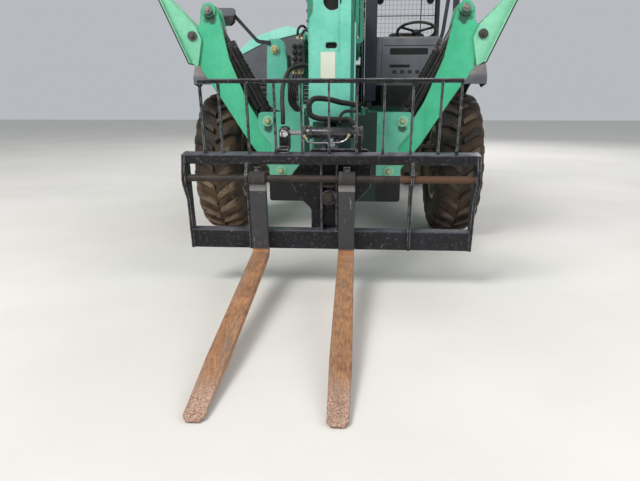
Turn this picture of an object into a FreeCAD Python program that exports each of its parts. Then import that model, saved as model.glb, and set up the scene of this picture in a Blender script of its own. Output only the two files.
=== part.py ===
import FreeCAD, Part
import math
import os
from collections import namedtuple

import Sketcher
from FreeCAD import Vector

# Telehandler with a three-section boom, a side-tilting fork carriage and two front stabilizers.
# Frame: +X is the machine's left (the cab side), +Y its rear, +Z up, millimetres and degrees.
# The origin is the middle of the machine's bounding box, on the ground.

SIZES = {
    # wheels and axles
    "tyre_radius": 640,
    "tyre_width": 400,
    "tread_depth": 39,
    "lug_flat": 3.88,
    "lug_sink": 80,
    "lug_count": 23,
    "track_half": 1060,
    "front_axle_y": -510,
    "wheelbase": 3220,
    "rim_radius": 318,
    "rim_wall": 16,
    "rim_half_width": 165,
    "bead_lip": 28,
    "hub_radius": 150,
    "spindle_radius": 60,
    "running_fit": 0.08,
    "king_x": 850,
    "king_radius": 30,
    "yoke_half_height": 140,
    "yoke_plate": 30,
    "axle_tube_radius": 95,
    "diff_radius": 185,
    # chassis
    "frame_half_width": 250,
    "frame_plate": 20,
    "frame_floor_z": 850,
    "frame_top_z": 1150,
    "frame_belly_z": 480,
    "frame_front_y": -1600,
    "frame_rear_y": 3560,
    "arch_half": 310,
    "arch_z": 800,
    "boom_pivot_y": 3250,
    "boom_pivot_z": 2050,
    "boom_pin_radius": 45,
    "lift_pin_y": 2770,
    "lift_pin_z": 1020,
    "outrigger_beam": 90,
    "nose_low_z": 445,
    "nose_half": 505,
    "bracket_low_z": 640,
    "bracket_top_z": 1122,
    # counterweight and hitch
    "counterweight_half": 640,
    "counterweight_low_z": 620,
    "counterweight_high_z": 1330,
    "rear_end_y": 4001,
    "hitch_pin_radius": 16,
    # boom
    "boom_rest_angle": 2.5,
    "base_half_width": 185,
    "base_half_height": 210,
    "mid_half_width": 155,
    "mid_half_height": 180,
    "fly_half_width": 125,
    "fly_half_height": 150,
    "boom_wall": 10,
    "wear_gap": 0.3,
    "boom_collar": 18,
    "base_rear": 420,
    "base_front": 4860,
    "mid_rear": 520,
    "mid_front": 4980,
    "fly_rear": 640,
    "lift_eye_y": 1100,
    "lift_eye_z": 1500,
    "lift_ram_radius": 88,
    "lift_rod_radius": 55,
    "lift_barrel": 1500,
    # boom head and carriage tilt
    "head_half_width": 148,
    "head_front_y": -2110,
    "head_top_z": 1970,
    "head_shoulder_z": 1690,
    "head_neck_z": 1750,
    "head_hole_x": 0,
    "head_hole_z": 1812,
    "head_hole_radius": 57,
    "head_slot_low_z": 1526,
    "head_slot_high_z": 1562,
    "head_plate_low_z": 1063,
    "tilt_pivot_y": -2050,
    "tilt_pivot_z": 620,
    "tilt_pin_radius": 30,
    "tilt_ear_arm": 280,
    "tilt_ear_angle": 105,
    "tilt_barrel_y": -1600,
    "tilt_barrel_z": 1500,
    "tilt_ram_radius": 52,
    "tilt_rod_radius": 30,
    # carriage
    "carriage_tilt": 8.6,
    "heel_y": -2430,
    "heel_z": 256,
    "carriage_half": 885,
    "end_plate": 20,
    "beam_front": 45.3,
    "beam_depth": 75,
    "top_beam_z": 566,
    "top_beam_height": 60,
    "bottom_beam_height": 128,
    "shaft_z": 480,
    "shaft_y": 22,
    "shaft_radius": 22,
    "divider_x": 505,
    "divider_plate": 15,
    "centre_plate_x": 48,
    "centre_plate": 12,
    "side_pivot_z": 350,
    "side_pin_radius": 37,
    "side_eye_x": 285,
    "side_rod_radius": 16,
    "backrest_top_z": 1066,
    "backrest_half": 775,
    "backrest_bar": 12,
    "backrest_depth": 30,
    # forks
    "fork_width": 102,
    "fork_thickness": 45,
    "fork_tip_thickness": 14,
    "fork_length": 1590,
    "fork_tip_width": 84,
    "fork_left_x": 110,
    "fork_right_x": -440,
    "fork_eye_radius": 46,
    # stabilizers
    "stab_y": -1500,
    "stab_half": 75,
    "stab_plate": 15,
    "leg_pin_x": 414,
    "leg_pin_z": 680,
    "ram_pin_x": 508,
    "ram_pin_z": 1056,
    "leg_top_x": 930,
    "leg_top_z": 1846,
    "foot_pin_x": 1058,
    "foot_pin_z": 1668,
    "foot_fold": 66,
    "stab_pin_radius": 24,
    "ram_radius": 52,
    "ram_rod_radius": 28,
    "ram_barrel": 640,
    # engine side
    "pod_outer_x": 1150,
    "pod_inner_x": 420,
    "pod_front_y": 310,
    "pod_rear_y": 1880,
    "pod_floor_z": 760,
    "pod_wall": 8,
    "louvre_height": 24,
    "louvre_pitch": 50,
    "exhaust_radius": 38,
    "tower_y": -680,
    "tower_half": 52,
    "tower_plate": 20,
    "tower_pin_x": 567,
    "tower_pin_z": 1650,
    "tower_pin_radius": 25,
    "level_foot_z": 745,
    "hood_hinge_x": 405,
    "hood_hinge_z": 1905,
    "hood_pin_radius": 8,
    # cab side
    "cab_inner_x": 262,
    "cab_outer_x": 1200,
    "cab_front_y": 280,
    "cab_rear_y": 1760,
    "cab_floor_z": 1150,
    "cab_roof_z": 2560,
    "cab_tube": 60,
    "console_x": 422,
    "seat_x": 780,
    "work_lamp_radius": 46,
    "tail_lamp_x": 400,
    "tail_lamp_z": 1195,
    "steer_wheel_x": 800,
    "steer_wheel_y": 560,
    "steer_wheel_z": 1950,
    "steer_wheel_radius": 205,
    "steer_wheel_lean": 20,
    "column_length": 110,
    "fender_outer_x": 1242,
    "fender_inner_x": 1000,
    "fender_gap": 105,
    "fender_skin": 8,
    "fender_lip_z": 1345,
    "fender_skirt_z": 1230,
}

doc = FreeCAD.newDocument("telehandler")
sheet = doc.addObject("Spreadsheet::Sheet", "sizes")
for row, (alias, number) in enumerate(SIZES.items(), start=1):
    sheet.set("A%d" % row, alias)
    sheet.set("B%d" % row, str(number))
    sheet.setAlias("B%d" % row, alias)
doc.recompute()


class Size:
    """A number together with the sheet formula that gives it."""

    def __init__(self, number, text):
        self.number = float(number)
        self.text = text

    def __add__(self, other):
        other = size(other)
        return Size(self.number + other.number, "(%s + %s)" % (self.text, other.text))

    def __sub__(self, other):
        other = size(other)
        return Size(self.number - other.number, "(%s - %s)" % (self.text, other.text))

    def __mul__(self, other):
        other = size(other)
        return Size(self.number * other.number, "(%s * %s)" % (self.text, other.text))

    def __truediv__(self, other):
        other = size(other)
        return Size(self.number / other.number, "(%s / %s)" % (self.text, other.text))

    def __neg__(self):
        return Size(-self.number, "(0 - %s)" % self.text)

    def __radd__(self, other):
        return size(other) + self

    def __rsub__(self, other):
        return size(other) - self

    def __rmul__(self, other):
        return size(other) * self


def size(value):
    """A plain number as a Size; a Size stays as it is."""
    if isinstance(value, Size):
        return value
    return Size(value, "(%r)" % float(value))


def sine(angle):
    angle = size(angle)
    return Size(math.sin(math.radians(angle.number)), "sin(%s)" % angle.text)


def cosine(angle):
    angle = size(angle)
    return Size(math.cos(math.radians(angle.number)), "cos(%s)" % angle.text)


def heading(rise, run):
    """The angle, in degrees, of a line that rises by one length over another."""
    rise = size(rise)
    run = size(run)
    degrees = math.degrees(math.atan2(rise.number, run.number))
    return Size(degrees, "(atan2(%s; %s) / 1 deg)" % (rise.text, run.text))


def distance(run, rise):
    run = size(run)
    rise = size(rise)
    length = math.hypot(run.number, rise.number)
    return Size(length, "sqrt(%s ^ 2 + %s ^ 2)" % (run.text, rise.text))


S = namedtuple("Sheet", SIZES)(*[Size(number, "sizes." + alias) for alias, number in SIZES.items()])

Disc = namedtuple("Disc", "u v radius")

# A view is the plane that an outline is drawn on: plane, side of its normal, and what the
# outline's u and v run along.
View = namedtuple("View", "role normal")
FRONT = View("XZ_Plane", -1)  # u = X, v = Z, depth along Y
SIDE = View("YZ_Plane", 1)  # u = Y, v = Z, depth along X
TOP = View("XY_Plane", 1)  # u = X, v = Y, depth along Z


def corner_arc(before, corner, after, radius):
    """The tangent points, centre and angles of the arc that rounds one corner."""
    to_before = (before - corner).normalize()
    to_after = (after - corner).normalize()
    half = to_before.getAngle(to_after) / 2
    setback = radius / math.tan(half)
    start = corner + to_before * setback
    end = corner + to_after * setback
    centre = corner + (to_before + to_after).normalize() * (radius / math.sin(half))
    turn = (corner - before).cross(after - corner).z
    first, last = (start, end) if turn > 0 else (end, start)
    angles = [math.atan2(p.y - centre.y, p.x - centre.x) for p in (first, last)]
    return start, end, centre, angles, turn > 0


class Piece:
    """One body of the machine, drawn in outlines whose points are bound to the sheet."""

    def __init__(self, name, at=(0, 0, 0), axis=(1, 0, 0), angle=0):
        self.body = doc.addObject("PartDesign::Body", name)
        self.body.Label = name
        self.planes = {feature.Role: feature for feature in self.body.Origin.OriginFeatures}
        self.body.AllowCompound = True
        at = [size(value) for value in at]
        place = "placement(vector(%s; %s; %s); rotation(vector(%d; %d; %d); %s))"
        values = tuple(value.text for value in at) + tuple(axis) + (size(angle).text,)
        self.body.setExpression("Placement", place % values)

    def sketch(self, view, level, loops):
        drawing = self.body.newObject("Sketcher::SketchObject", self.body.Name + "_outline")
        drawing.AttachmentSupport = [(self.planes[view.role], "")]
        drawing.MapMode = "FlatFace"
        drawing.setExpression("AttachmentOffset.Base.z", (size(level) * view.normal).text)
        for loop in loops:
            if isinstance(loop, Disc):
                self.draw_disc(drawing, loop)
            else:
                self.draw_loop(drawing, loop)
        return drawing

    def bind(self, drawing, kind, geometry, point, value):
        value = size(value)
        if point is None:
            index = drawing.addConstraint(Sketcher.Constraint(kind, geometry, value.number))
        else:
            index = drawing.addConstraint(Sketcher.Constraint(kind, geometry, point, value.number))
        drawing.setExpression("Constraints[%d]" % index, value.text)

    def draw_disc(self, drawing, disc):
        centre = Vector(size(disc.u).number, size(disc.v).number, 0)
        circle = Part.Circle(centre, Vector(0, 0, 1), size(disc.radius).number)
        index = drawing.addGeometry(circle, False)
        self.bind(drawing, "Radius", index, None, disc.radius)
        self.bind(drawing, "DistanceX", index, 3, disc.u)
        self.bind(drawing, "DistanceY", index, 3, disc.v)

    def draw_loop(self, drawing, loop):
        """Lines through the corners; a corner with a third value is rounded by that radius."""
        corners = [Vector(size(c[0]).number, size(c[1]).number, 0) for c in loop]
        radii = [size(c[2]) if len(c) > 2 else None for c in loop]
        count = len(loop)
        starts, ends, arcs = list(corners), list(corners), [None] * count
        for i in range(count):
            if radii[i] is not None:
                start, end, centre, angles, left = corner_arc(
                    corners[i - 1], corners[i], corners[(i + 1) % count], radii[i].number)
                starts[i], ends[i] = start, end
                arcs[i] = (centre, angles, left)
        lines = []
        for i in range(count):
            line = Part.LineSegment(ends[i], starts[(i + 1) % count])
            lines.append(drawing.addGeometry(line, False))
        for i in range(count):
            before, after = lines[i - 1], lines[i]
            if arcs[i] is None:
                drawing.addConstraint(Sketcher.Constraint("Coincident", before, 2, after, 1))
                self.bind(drawing, "DistanceX", after, 1, loop[i][0])
                self.bind(drawing, "DistanceY", after, 1, loop[i][1])
                continue
            centre, angles, left = arcs[i]
            circle = Part.Circle(centre, Vector(0, 0, 1), radii[i].number)
            arc = drawing.addGeometry(Part.ArcOfCircle(circle, angles[0], angles[1]), False)
            corner = drawing.addGeometry(Part.Point(corners[i]), True)
            near, far = (1, 2) if left else (2, 1)
            drawing.addConstraint([
                Sketcher.Constraint("Tangent", before, 2, arc, near),
                Sketcher.Constraint("Tangent", arc, far, after, 1),
                Sketcher.Constraint("PointOnObject", corner, 1, before),
                Sketcher.Constraint("PointOnObject", corner, 1, after),
            ])
            self.bind(drawing, "Radius", arc, None, radii[i])
            self.bind(drawing, "DistanceX", corner, 1, loop[i][0])
            self.bind(drawing, "DistanceY", corner, 1, loop[i][1])

    def pad(self, view, low, high, *loops):
        """Adds the outlines' solid between two depths along the view."""
        level = low if view.normal > 0 else high
        feature = self.body.newObject("PartDesign::Pad", self.body.Name + "_pad")
        feature.Profile = self.sketch(view, level, loops)
        feature.setExpression("Length", (size(high) - low).text)
        return feature

    def cut(self, view, low, high, *loops):
        """Cuts the outlines out between two depths along the view."""
        level = high if view.normal > 0 else low
        feature = self.body.newObject("PartDesign::Pocket", self.body.Name + "_cut")
        feature.Profile = self.sketch(view, level, loops)
        feature.Type = "Length"
        feature.setExpression("Length", (size(high) - low).text)
        return feature

    def turn(self, view, axis, *loops):
        """Revolves the outlines about the view's H_Axis or V_Axis."""
        feature = self.body.newObject("PartDesign::Revolution", self.body.Name + "_turned")
        drawing = self.sketch(view, 0, loops)
        feature.Profile = drawing
        feature.ReferenceAxis = (drawing, [axis])
        feature.Angle = 360
        return feature

    def row(self, feature, axis, pitch, copies):
        """Repeats one feature along an axis of the body."""
        pattern = self.body.newObject("PartDesign::LinearPattern", self.body.Name + "_row")
        pattern.Originals = [feature]
        pattern.Direction = (self.planes[axis], [""])
        pattern.setExpression("Length", (size(pitch) * (copies - 1)).text)
        pattern.Occurrences = copies
        self.body.Tip = pattern
        return pattern

    def ring(self, feature, axis, copies):
        """Repeats one feature round an axis of the body."""
        pattern = self.body.newObject("PartDesign::PolarPattern", self.body.Name + "_ring")
        pattern.Originals = [feature]
        pattern.Axis = (self.planes[axis], [""])
        pattern.Angle = 360
        pattern.setExpression("Occurrences", size(copies).text)
        self.body.Tip = pattern
        return pattern


def box(u_low, u_high, v_low, v_high, radius=None):
    """A rectangle's corners, counterclockwise."""
    corners = [(u_low, v_low), (u_high, v_low), (u_high, v_high), (u_low, v_high)]
    if radius is None:
        return corners
    return [corner + (radius,) for corner in corners]


def span(side, near, far):
    """Low and high X of what lies between two distances from the middle, on one side."""
    if side > 0:
        return near, far
    return -size(far), -size(near)


def mirrored(side, loop):
    """An outline drawn for the +X side, put on the given side."""
    if side > 0:
        return loop
    return [(-size(corner[0]),) + tuple(corner[1:]) for corner in reversed(loop)]


SIDES = {"left": 1, "right": -1}
rear_axle_y = S.front_axle_y + S.wheelbase
AXLES = {"front": S.front_axle_y, "rear": rear_axle_y}


def make_axle(end, axle_y):
    """Housing with its differential bulge, saddle blocks under the frame and two steering yokes."""
    axle = Piece(end + "_axle", at=(0, axle_y, S.tyre_radius))
    yoke_back = S.king_x - 105
    plate_in = S.frame_half_width - S.frame_plate
    axle.turn(TOP, "H_Axis", [
        (-yoke_back, 0), (yoke_back, 0), (yoke_back, S.axle_tube_radius),
        (260, S.axle_tube_radius), (150, S.diff_radius), (-150, S.diff_radius),
        (-260, S.axle_tube_radius), (-yoke_back, S.axle_tube_radius)])
    ear_low = S.yoke_half_height
    ear_high = ear_low + S.yoke_plate
    for side in SIDES.values():
        low, high = span(side, yoke_back, yoke_back + S.yoke_plate)
        axle.pad(SIDE, low, high, box(-100, 100, -ear_high, ear_high, 30))
        low, high = span(side, yoke_back, S.king_x + 62)
        pin = Disc(S.king_x * side, 0, S.king_radius + S.running_fit)
        for z_low, z_high in ((ear_low, ear_high), (-ear_high, -ear_low)):
            axle.pad(TOP, z_low, z_high, box(low, high, -70, 70, 40), pin)
        low, high = span(side, plate_in - 30, S.frame_half_width + 30)
        axle.pad(SIDE, low, high, box(-110, 110, 0, S.arch_z - S.tyre_radius))
    if end == "front":
        add_level_lugs(axle)
    return axle


def add_level_lugs(axle):
    """Shelf and two lugs on the front axle with the level ram's lower pin."""
    ram_y = S.tower_y - S.front_axle_y
    pin_x, pin_z = -S.tower_pin_x, S.level_foot_z - S.tyre_radius
    half = S.tower_half
    axle.pad(TOP, 20, 58, box(pin_x - 60, pin_x + 60, ram_y - half - 14, -60))
    for near in (ram_y - half - 12, ram_y + half):
        axle.pad(FRONT, near, near + 12, box(pin_x - 45, pin_x + 45, 50, pin_z + 45, 30))
    pin = Disc(pin_x, pin_z, S.tower_pin_radius)
    axle.pad(FRONT, ram_y - half - 18, ram_y + half + 18, pin)


def make_knuckle(name, side, axle_y):
    """Steering knuckle: king pins, barrel, planetary hub and the spindle that the wheel turns on."""
    knuckle = Piece(name, at=(S.king_x * side, axle_y, S.tyre_radius))
    barrel = S.yoke_half_height - 6
    knuckle.turn(FRONT, "V_Axis", [
        (0, -S.yoke_half_height - S.yoke_plate), (S.king_radius, -S.yoke_half_height - S.yoke_plate),
        (S.king_radius, -barrel), (68, -barrel), (68, barrel), (S.king_radius, barrel),
        (S.king_radius, S.yoke_half_height + S.yoke_plate), (0, S.yoke_half_height + S.yoke_plate)])
    flange = S.track_half - S.king_x - 90
    low, high = span(side, 0, flange)
    knuckle.pad(SIDE, low, high, Disc(0, 0, 105))
    low, high = span(side, flange, S.track_half - S.king_x + 50)
    knuckle.pad(SIDE, low, high, Disc(0, 0, S.spindle_radius))
    return knuckle


def make_rim(name, side, axle_y):
    """Wheel rim, its disc and the closed planetary hub, turned in one profile."""
    rim = Piece(name, at=(S.track_half * side, axle_y, S.tyre_radius))
    bore = S.spindle_radius + S.running_fit
    inside = S.rim_radius - S.rim_wall
    lip = S.rim_radius + S.bead_lip
    wide = S.rim_half_width
    seat = wide - 18
    profile = [
        (-84, bore), (55, bore), (55, 0), (82, 0), (82, 100), (60, S.hub_radius), (6, S.hub_radius),
        (6, inside), (wide, inside), (wide, lip), (seat, lip), (seat, S.rim_radius),
        (-seat, S.rim_radius), (-seat, lip), (-wide, lip), (-wide, inside), (-22, inside),
        (-22, S.hub_radius), (-84, S.hub_radius)]
    if side < 0:
        profile = [(-size(x), radius) for x, radius in reversed(profile)]
    rim.turn(TOP, "H_Axis", profile)
    return rim


# One lug of a tyre's tread: distance from the tyre's middle, shift along the tread, half its width.
LugEnd = namedtuple("LugEnd", "across along half")
LUG = (LugEnd(8, -46, 22), LugEnd(178, 46, 26))


def make_tyre(name, side, axle_y):
    """Loader tyre: a carcass and two rows of leaning lugs, each row one lug repeated round it."""
    tyre = Piece(name, at=(S.track_half * side, axle_y, S.tyre_radius))
    half = S.tyre_width / 2
    seat = S.rim_half_width - 18
    tread = S.tyre_radius - S.tread_depth
    root, top = tread - S.lug_sink, S.tyre_radius - S.lug_flat
    flank = [(seat, S.rim_radius), (seat, S.rim_radius + S.bead_lip), (half - 4, S.rim_radius + 190),
             (half - 30, tread)]
    tyre.turn(TOP, "H_Axis", flank + [(-x, radius) for x, radius in reversed(flank)])
    for row in SIDES.values():
        edge = [(row * end.across, end.along - end.half) for end in LUG]
        edge += [(row * end.across, end.along + end.half) for end in reversed(LUG)]
        low, high = span(row, root, top)
        lug = tyre.pad(TOP, low, high, edge if row > 0 else edge[::-1])
        tyre.ring(lug, "X_Axis", S.lug_count)
    return tyre


def make_frame():
    """Two tall side plates, floor, end plates, pins, outrigger beams and stabilizer brackets."""
    frame = Piece("chassis_frame")
    outer = S.frame_half_width
    inner = outer - S.frame_plate
    arches = [(axle_y - S.arch_half, axle_y + S.arch_half) for axle_y in AXLES.values()]
    plate = [
        (S.frame_front_y, 560, 60), (S.frame_front_y, S.frame_top_z, 40), (2350, S.frame_top_z, 300),
        (S.boom_pivot_y - 170, S.boom_pivot_z + 140, 110), (S.boom_pivot_y + 170, S.boom_pivot_z + 140, 110),
        (S.frame_rear_y, 1500, 80), (S.frame_rear_y, 640), (arches[1][1], 640),
        (arches[1][1], S.arch_z, 60), (arches[1][0], S.arch_z, 60), (arches[1][0], S.frame_belly_z, 80),
        (arches[0][1], S.frame_belly_z, 80), (arches[0][1], S.arch_z, 60), (arches[0][0], S.arch_z, 60),
        (arches[0][0], 560, 60)]
    for side in SIDES.values():
        low, high = span(side, inner, outer)
        frame.pad(SIDE, low, high, plate)
    rear_face = S.frame_rear_y - S.frame_plate
    floor = S.frame_floor_z
    frame.pad(TOP, floor, floor + 16, box(-inner, inner, S.frame_front_y + 10, rear_face))
    for low, high, z_low, z_high in (
            (S.frame_front_y, S.frame_front_y + S.frame_plate, 620, S.frame_top_z - 50),
            (rear_face, S.frame_rear_y, 700, 1420)):
        frame.pad(FRONT, low, high, box(-inner, inner, z_low, z_high))
    frame.pad(SIDE, -outer - 15, outer + 15, Disc(S.boom_pivot_y, S.boom_pivot_z, S.boom_pin_radius))
    frame.pad(SIDE, -outer - 15, outer + 15, Disc(S.lift_pin_y, S.lift_pin_z, S.boom_pin_radius))
    nose = box(-S.nose_half, S.nose_half, S.nose_low_z, S.bracket_low_z + 10, 20)
    frame.pad(FRONT, S.frame_front_y, S.frame_front_y + S.frame_plate, nose)
    beam = S.outrigger_beam
    beams = ((1, S.cab_floor_z, S.cab_outer_x - 140), (-1, S.pod_floor_z, S.pod_outer_x - 60))
    for side, top, reach in beams:
        low, high = span(side, inner, reach)
        for beam_y in (S.pod_front_y + 140, S.pod_rear_y - 230):
            frame.pad(SIDE, low, high, box(beam_y, beam_y + beam, top - beam, top))
    return frame


def add_stabilizer_brackets(frame):
    """Pairs of plates at the frame's front corners with the pins of each leg and its ram."""
    gap = S.stab_half + 5
    inner = S.frame_half_width - S.frame_plate
    for side in SIDES.values():
        bracket = mirrored(side, [
            (inner, S.bracket_low_z), (S.leg_pin_x + 90, S.bracket_low_z, 20), (S.leg_pin_x + 90, 750, 30),
            (S.leg_pin_x + 62, 860, 60), (S.ram_pin_x + 50, 960, 40), (S.ram_pin_x + 76, 1010, 30),
            (S.ram_pin_x + 70, S.bracket_top_z, 30), (inner, S.bracket_top_z)])
        for near in (S.stab_y - gap - S.frame_plate, S.stab_y + gap):
            frame.pad(FRONT, near, near + S.frame_plate, bracket)
        reach = gap + S.frame_plate + 10
        for pin_x, pin_z in ((S.leg_pin_x, S.leg_pin_z), (S.ram_pin_x, S.ram_pin_z)):
            pin = Disc(pin_x * side, pin_z, S.stab_pin_radius)
            frame.pad(FRONT, S.stab_y - reach, S.stab_y + reach, pin)


def make_counterweight():
    weight = Piece("counterweight")
    half = S.counterweight_half
    front = S.frame_rear_y
    weight.pad(TOP, S.counterweight_low_z, S.counterweight_high_z, [
        (-half, front), (half, front), (half, S.rear_end_y - 90, 60), (half - 150, S.rear_end_y, 60),
        (150 - half, S.rear_end_y, 60), (-half, S.rear_end_y - 90, 60)])
    weight.cut(TOP, S.counterweight_low_z, S.counterweight_low_z + 90,
               box(-90, 90, S.rear_end_y - 130, S.rear_end_y + 10))
    for side in SIDES.values():
        middle = S.tail_lamp_x * side
        weight.cut(FRONT, S.rear_end_y - 28, S.rear_end_y + 5,
                   box(middle - 72, middle + 72, S.tail_lamp_z - 95, S.tail_lamp_z + 95, 12))
    return weight


def make_hitch():
    """Tow pin plates under the counterweight, bored for an upright pin."""
    hitch = Piece("tow_hitch")
    low = S.counterweight_low_z
    back = S.rear_end_y - 130
    hitch.pad(TOP, low - 25, low, box(-75, 75, back - 60, S.rear_end_y - 12, 20),
              Disc(0, S.rear_end_y - 60, S.hitch_pin_radius))
    return hitch


def boom_tube(piece, half_width, half_height, near, far, rounding=24):
    """A box section with rounded corners along the boom, open at both ends."""
    wall = S.boom_wall
    piece.pad(FRONT, -size(far), -size(near),
              box(-half_width, half_width, -half_height, half_height, rounding),
              box(wall - half_width, half_width - wall, wall - half_height, half_height - wall, rounding - 10))


def boom_piece(name):
    return Piece(name, at=(0, S.boom_pivot_y, S.boom_pivot_z), axis=(1, 0, 0), angle=S.boom_rest_angle)


def wear_pads(outer, widths, heights, near, far):
    """Blocks that fill the play round the inner section, fixed to the outer one's walls."""
    inner_side, outer_side = widths
    inner_top, outer_top = heights
    for side in SIDES.values():
        low, high = span(side, inner_side + S.wear_gap, outer_side - S.boom_wall)
        outer.pad(SIDE, low, high, box(-size(far), -size(near), -90, 90))
        low, high = span(side, inner_top + S.wear_gap, outer_top - S.boom_wall)
        outer.pad(TOP, low, high, box(-80, 80, -size(far), -size(near)))


def rear_pads(inner, widths, heights, near, far):
    """Blocks on the inner section's tail that run on the outer section's walls."""
    inner_side, outer_side = widths
    inner_top, outer_top = heights
    for side in SIDES.values():
        low, high = span(side, inner_side - 1, outer_side - S.boom_wall - S.wear_gap)
        inner.pad(SIDE, low, high, box(-size(far), -size(near), -90, 90))
        low, high = span(side, inner_top - 1, outer_top - S.boom_wall - S.wear_gap)
        inner.pad(TOP, low, high, box(-80, 80, -size(far), -size(near)))


def on_boom(y, z):
    """A point of the machine's side view, on the resting boom's own axes."""
    lean_cos, lean_sin = cosine(S.boom_rest_angle), sine(S.boom_rest_angle)
    back, up = size(y) - S.boom_pivot_y, size(z) - S.boom_pivot_z
    return back * lean_cos + up * lean_sin, up * lean_cos - back * lean_sin


def make_boom_base():
    base = boom_piece("boom_base")
    width, height = S.base_half_width, S.base_half_height
    boom_tube(base, width, height, S.base_rear, S.base_front)
    collar = S.boom_collar
    outline = box(-width - collar, width + collar, -height - collar, height + collar, 34)
    base.pad(FRONT, -S.base_front, 120 - S.base_front, outline,
             box(S.boom_wall - width, width - S.boom_wall, S.boom_wall - height, height - S.boom_wall))
    rear = [(-900, -height + 30), (-300, -height + 30, 200), (95, -95, 90), (95, 95, 90),
            (-300, height - 30, 200), (-900, height - 30)]
    bore = Disc(0, 0, S.boom_pin_radius + S.running_fit)
    for side in SIDES.values():
        low, high = span(side, width - S.boom_wall, width + 8)
        base.pad(SIDE, low, high, rear, bore)
    base.pad(SIDE, -width, width, Disc(0, 0, 85), bore)
    wear_pads(base, (S.mid_half_width, width), (S.mid_half_height, height),
              S.base_front - 110, S.base_front - 10)
    eye_y, eye_z = on_boom(S.lift_eye_y, S.lift_eye_z)
    bracket = [(eye_y - 190, 5 - height), (eye_y - 60, eye_z - 62, 60), (eye_y + 60, eye_z - 62, 60),
               (eye_y + 190, 5 - height)]
    for side in SIDES.values():
        low, high = span(side, 62, 82)
        base.pad(SIDE, low, high, bracket)
        low, high = span(side, 82, 96)
        base.pad(SIDE, low, high, Disc(eye_y, eye_z, 58))
    return base


def make_boom_mid():
    mid = boom_piece("boom_mid")
    width, height = S.mid_half_width, S.mid_half_height
    boom_tube(mid, width, height, S.mid_rear, S.mid_front)
    collar = S.boom_collar - 4
    mid.pad(FRONT, -S.mid_front, 90 - S.mid_front,
            box(-width - collar, width + collar, -height - collar, height + collar, 30),
            box(S.boom_wall - width, width - S.boom_wall, S.boom_wall - height, height - S.boom_wall))
    wear_pads(mid, (S.fly_half_width, width), (S.fly_half_height, height),
              S.mid_front - 100, S.mid_front - 10)
    rear_pads(mid, (width, S.base_half_width), (height, S.base_half_height),
              S.mid_rear + 10, S.mid_rear + 110)
    return mid


def make_boom_fly():
    """Inner section with the goose-neck head that carries the carriage and its tilt ram."""
    fly = boom_piece("boom_fly")
    width, height = S.fly_half_width, S.fly_half_height
    front = -on_boom(S.head_front_y, S.boom_pivot_z)[0] - 8
    boom_tube(fly, width, height, S.fly_rear, front)
    rear_pads(fly, (width, S.mid_half_width), (height, S.mid_half_height),
              S.fly_rear + 10, S.fly_rear + 100)
    outline = [
        (S.head_front_y, S.head_neck_z), (S.head_front_y, S.head_plate_low_z - 30),
        (S.tilt_pivot_y - 78, S.tilt_pivot_z - 75, 70), (S.tilt_pivot_y + 78, S.tilt_pivot_z - 75, 70),
        (S.tilt_pivot_y + 130, 900, 200), (S.tilt_barrel_y + 75, S.tilt_barrel_z - 110, 90),
        (S.tilt_barrel_y + 75, S.tilt_barrel_z + 68, 50), (-1760, S.tilt_barrel_z + 68, 60),
        (-1790, S.head_neck_z, 40)]
    cheek = [on_boom(*corner[:2]) + tuple(corner[2:]) for corner in outline]
    pin_u, pin_v = on_boom(S.tilt_pivot_y, S.tilt_pivot_z)
    barrel_u, barrel_v = on_boom(S.tilt_barrel_y, S.tilt_barrel_z)
    outer = S.head_half_width
    for side in SIDES.values():
        low, high = span(side, width, outer)
        fly.pad(SIDE, low, high, cheek, Disc(pin_u, pin_v, S.tilt_pin_radius + S.running_fit))
    plate = [on_boom(*corner) for corner in (
        (S.head_front_y, S.head_top_z), (S.head_front_y, S.head_plate_low_z),
        (S.head_front_y + 20, S.head_plate_low_z), (S.head_front_y + 20, S.head_top_z))]
    fly.pad(SIDE, -outer, outer, plate)
    neck_v = on_boom(S.head_front_y, S.head_neck_z)[1]
    shoulder_v = on_boom(S.head_front_y, S.head_shoulder_z)[1]
    head_u = on_boom(S.head_front_y, S.head_top_z)[0]
    for side in SIDES.values():
        fly.cut(FRONT, head_u - 30, head_u + 450, mirrored(side, [
            (outer + 5, shoulder_v), (outer + 5, height + 80), (width, height + 80), (width, neck_v)]))
    hole = Disc(S.head_hole_x, on_boom(S.head_front_y, S.head_hole_z)[1], S.head_hole_radius)
    slot_low = on_boom(S.head_front_y, S.head_slot_low_z)[1]
    slot_high = on_boom(S.head_front_y, S.head_slot_high_z)[1]
    fly.cut(FRONT, head_u - 40, head_u + 60, hole, box(-42, 30, slot_low, slot_high, 15))
    fly.pad(SIDE, -outer, outer, Disc(barrel_u, barrel_v, S.tilt_pin_radius))
    return fly


def make_lift_ram():
    """The big ram under the boom: barrel on the chassis pin, rod to the boom's bracket."""
    run, rise = S.lift_eye_y - S.lift_pin_y, S.lift_eye_z - S.lift_pin_z
    place = {"at": (0, S.lift_pin_y, S.lift_pin_z), "axis": (1, 0, 0), "angle": heading(rise, run)}
    return make_ram("lift", place, distance(run, rise), Ram(
        S.lift_ram_radius, S.lift_rod_radius, S.lift_barrel, S.boom_pin_radius, 100, 56, 110))


Ram = namedtuple("Ram", "radius rod_radius barrel pin_radius eye_radius eye_half rod_start")


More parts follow.
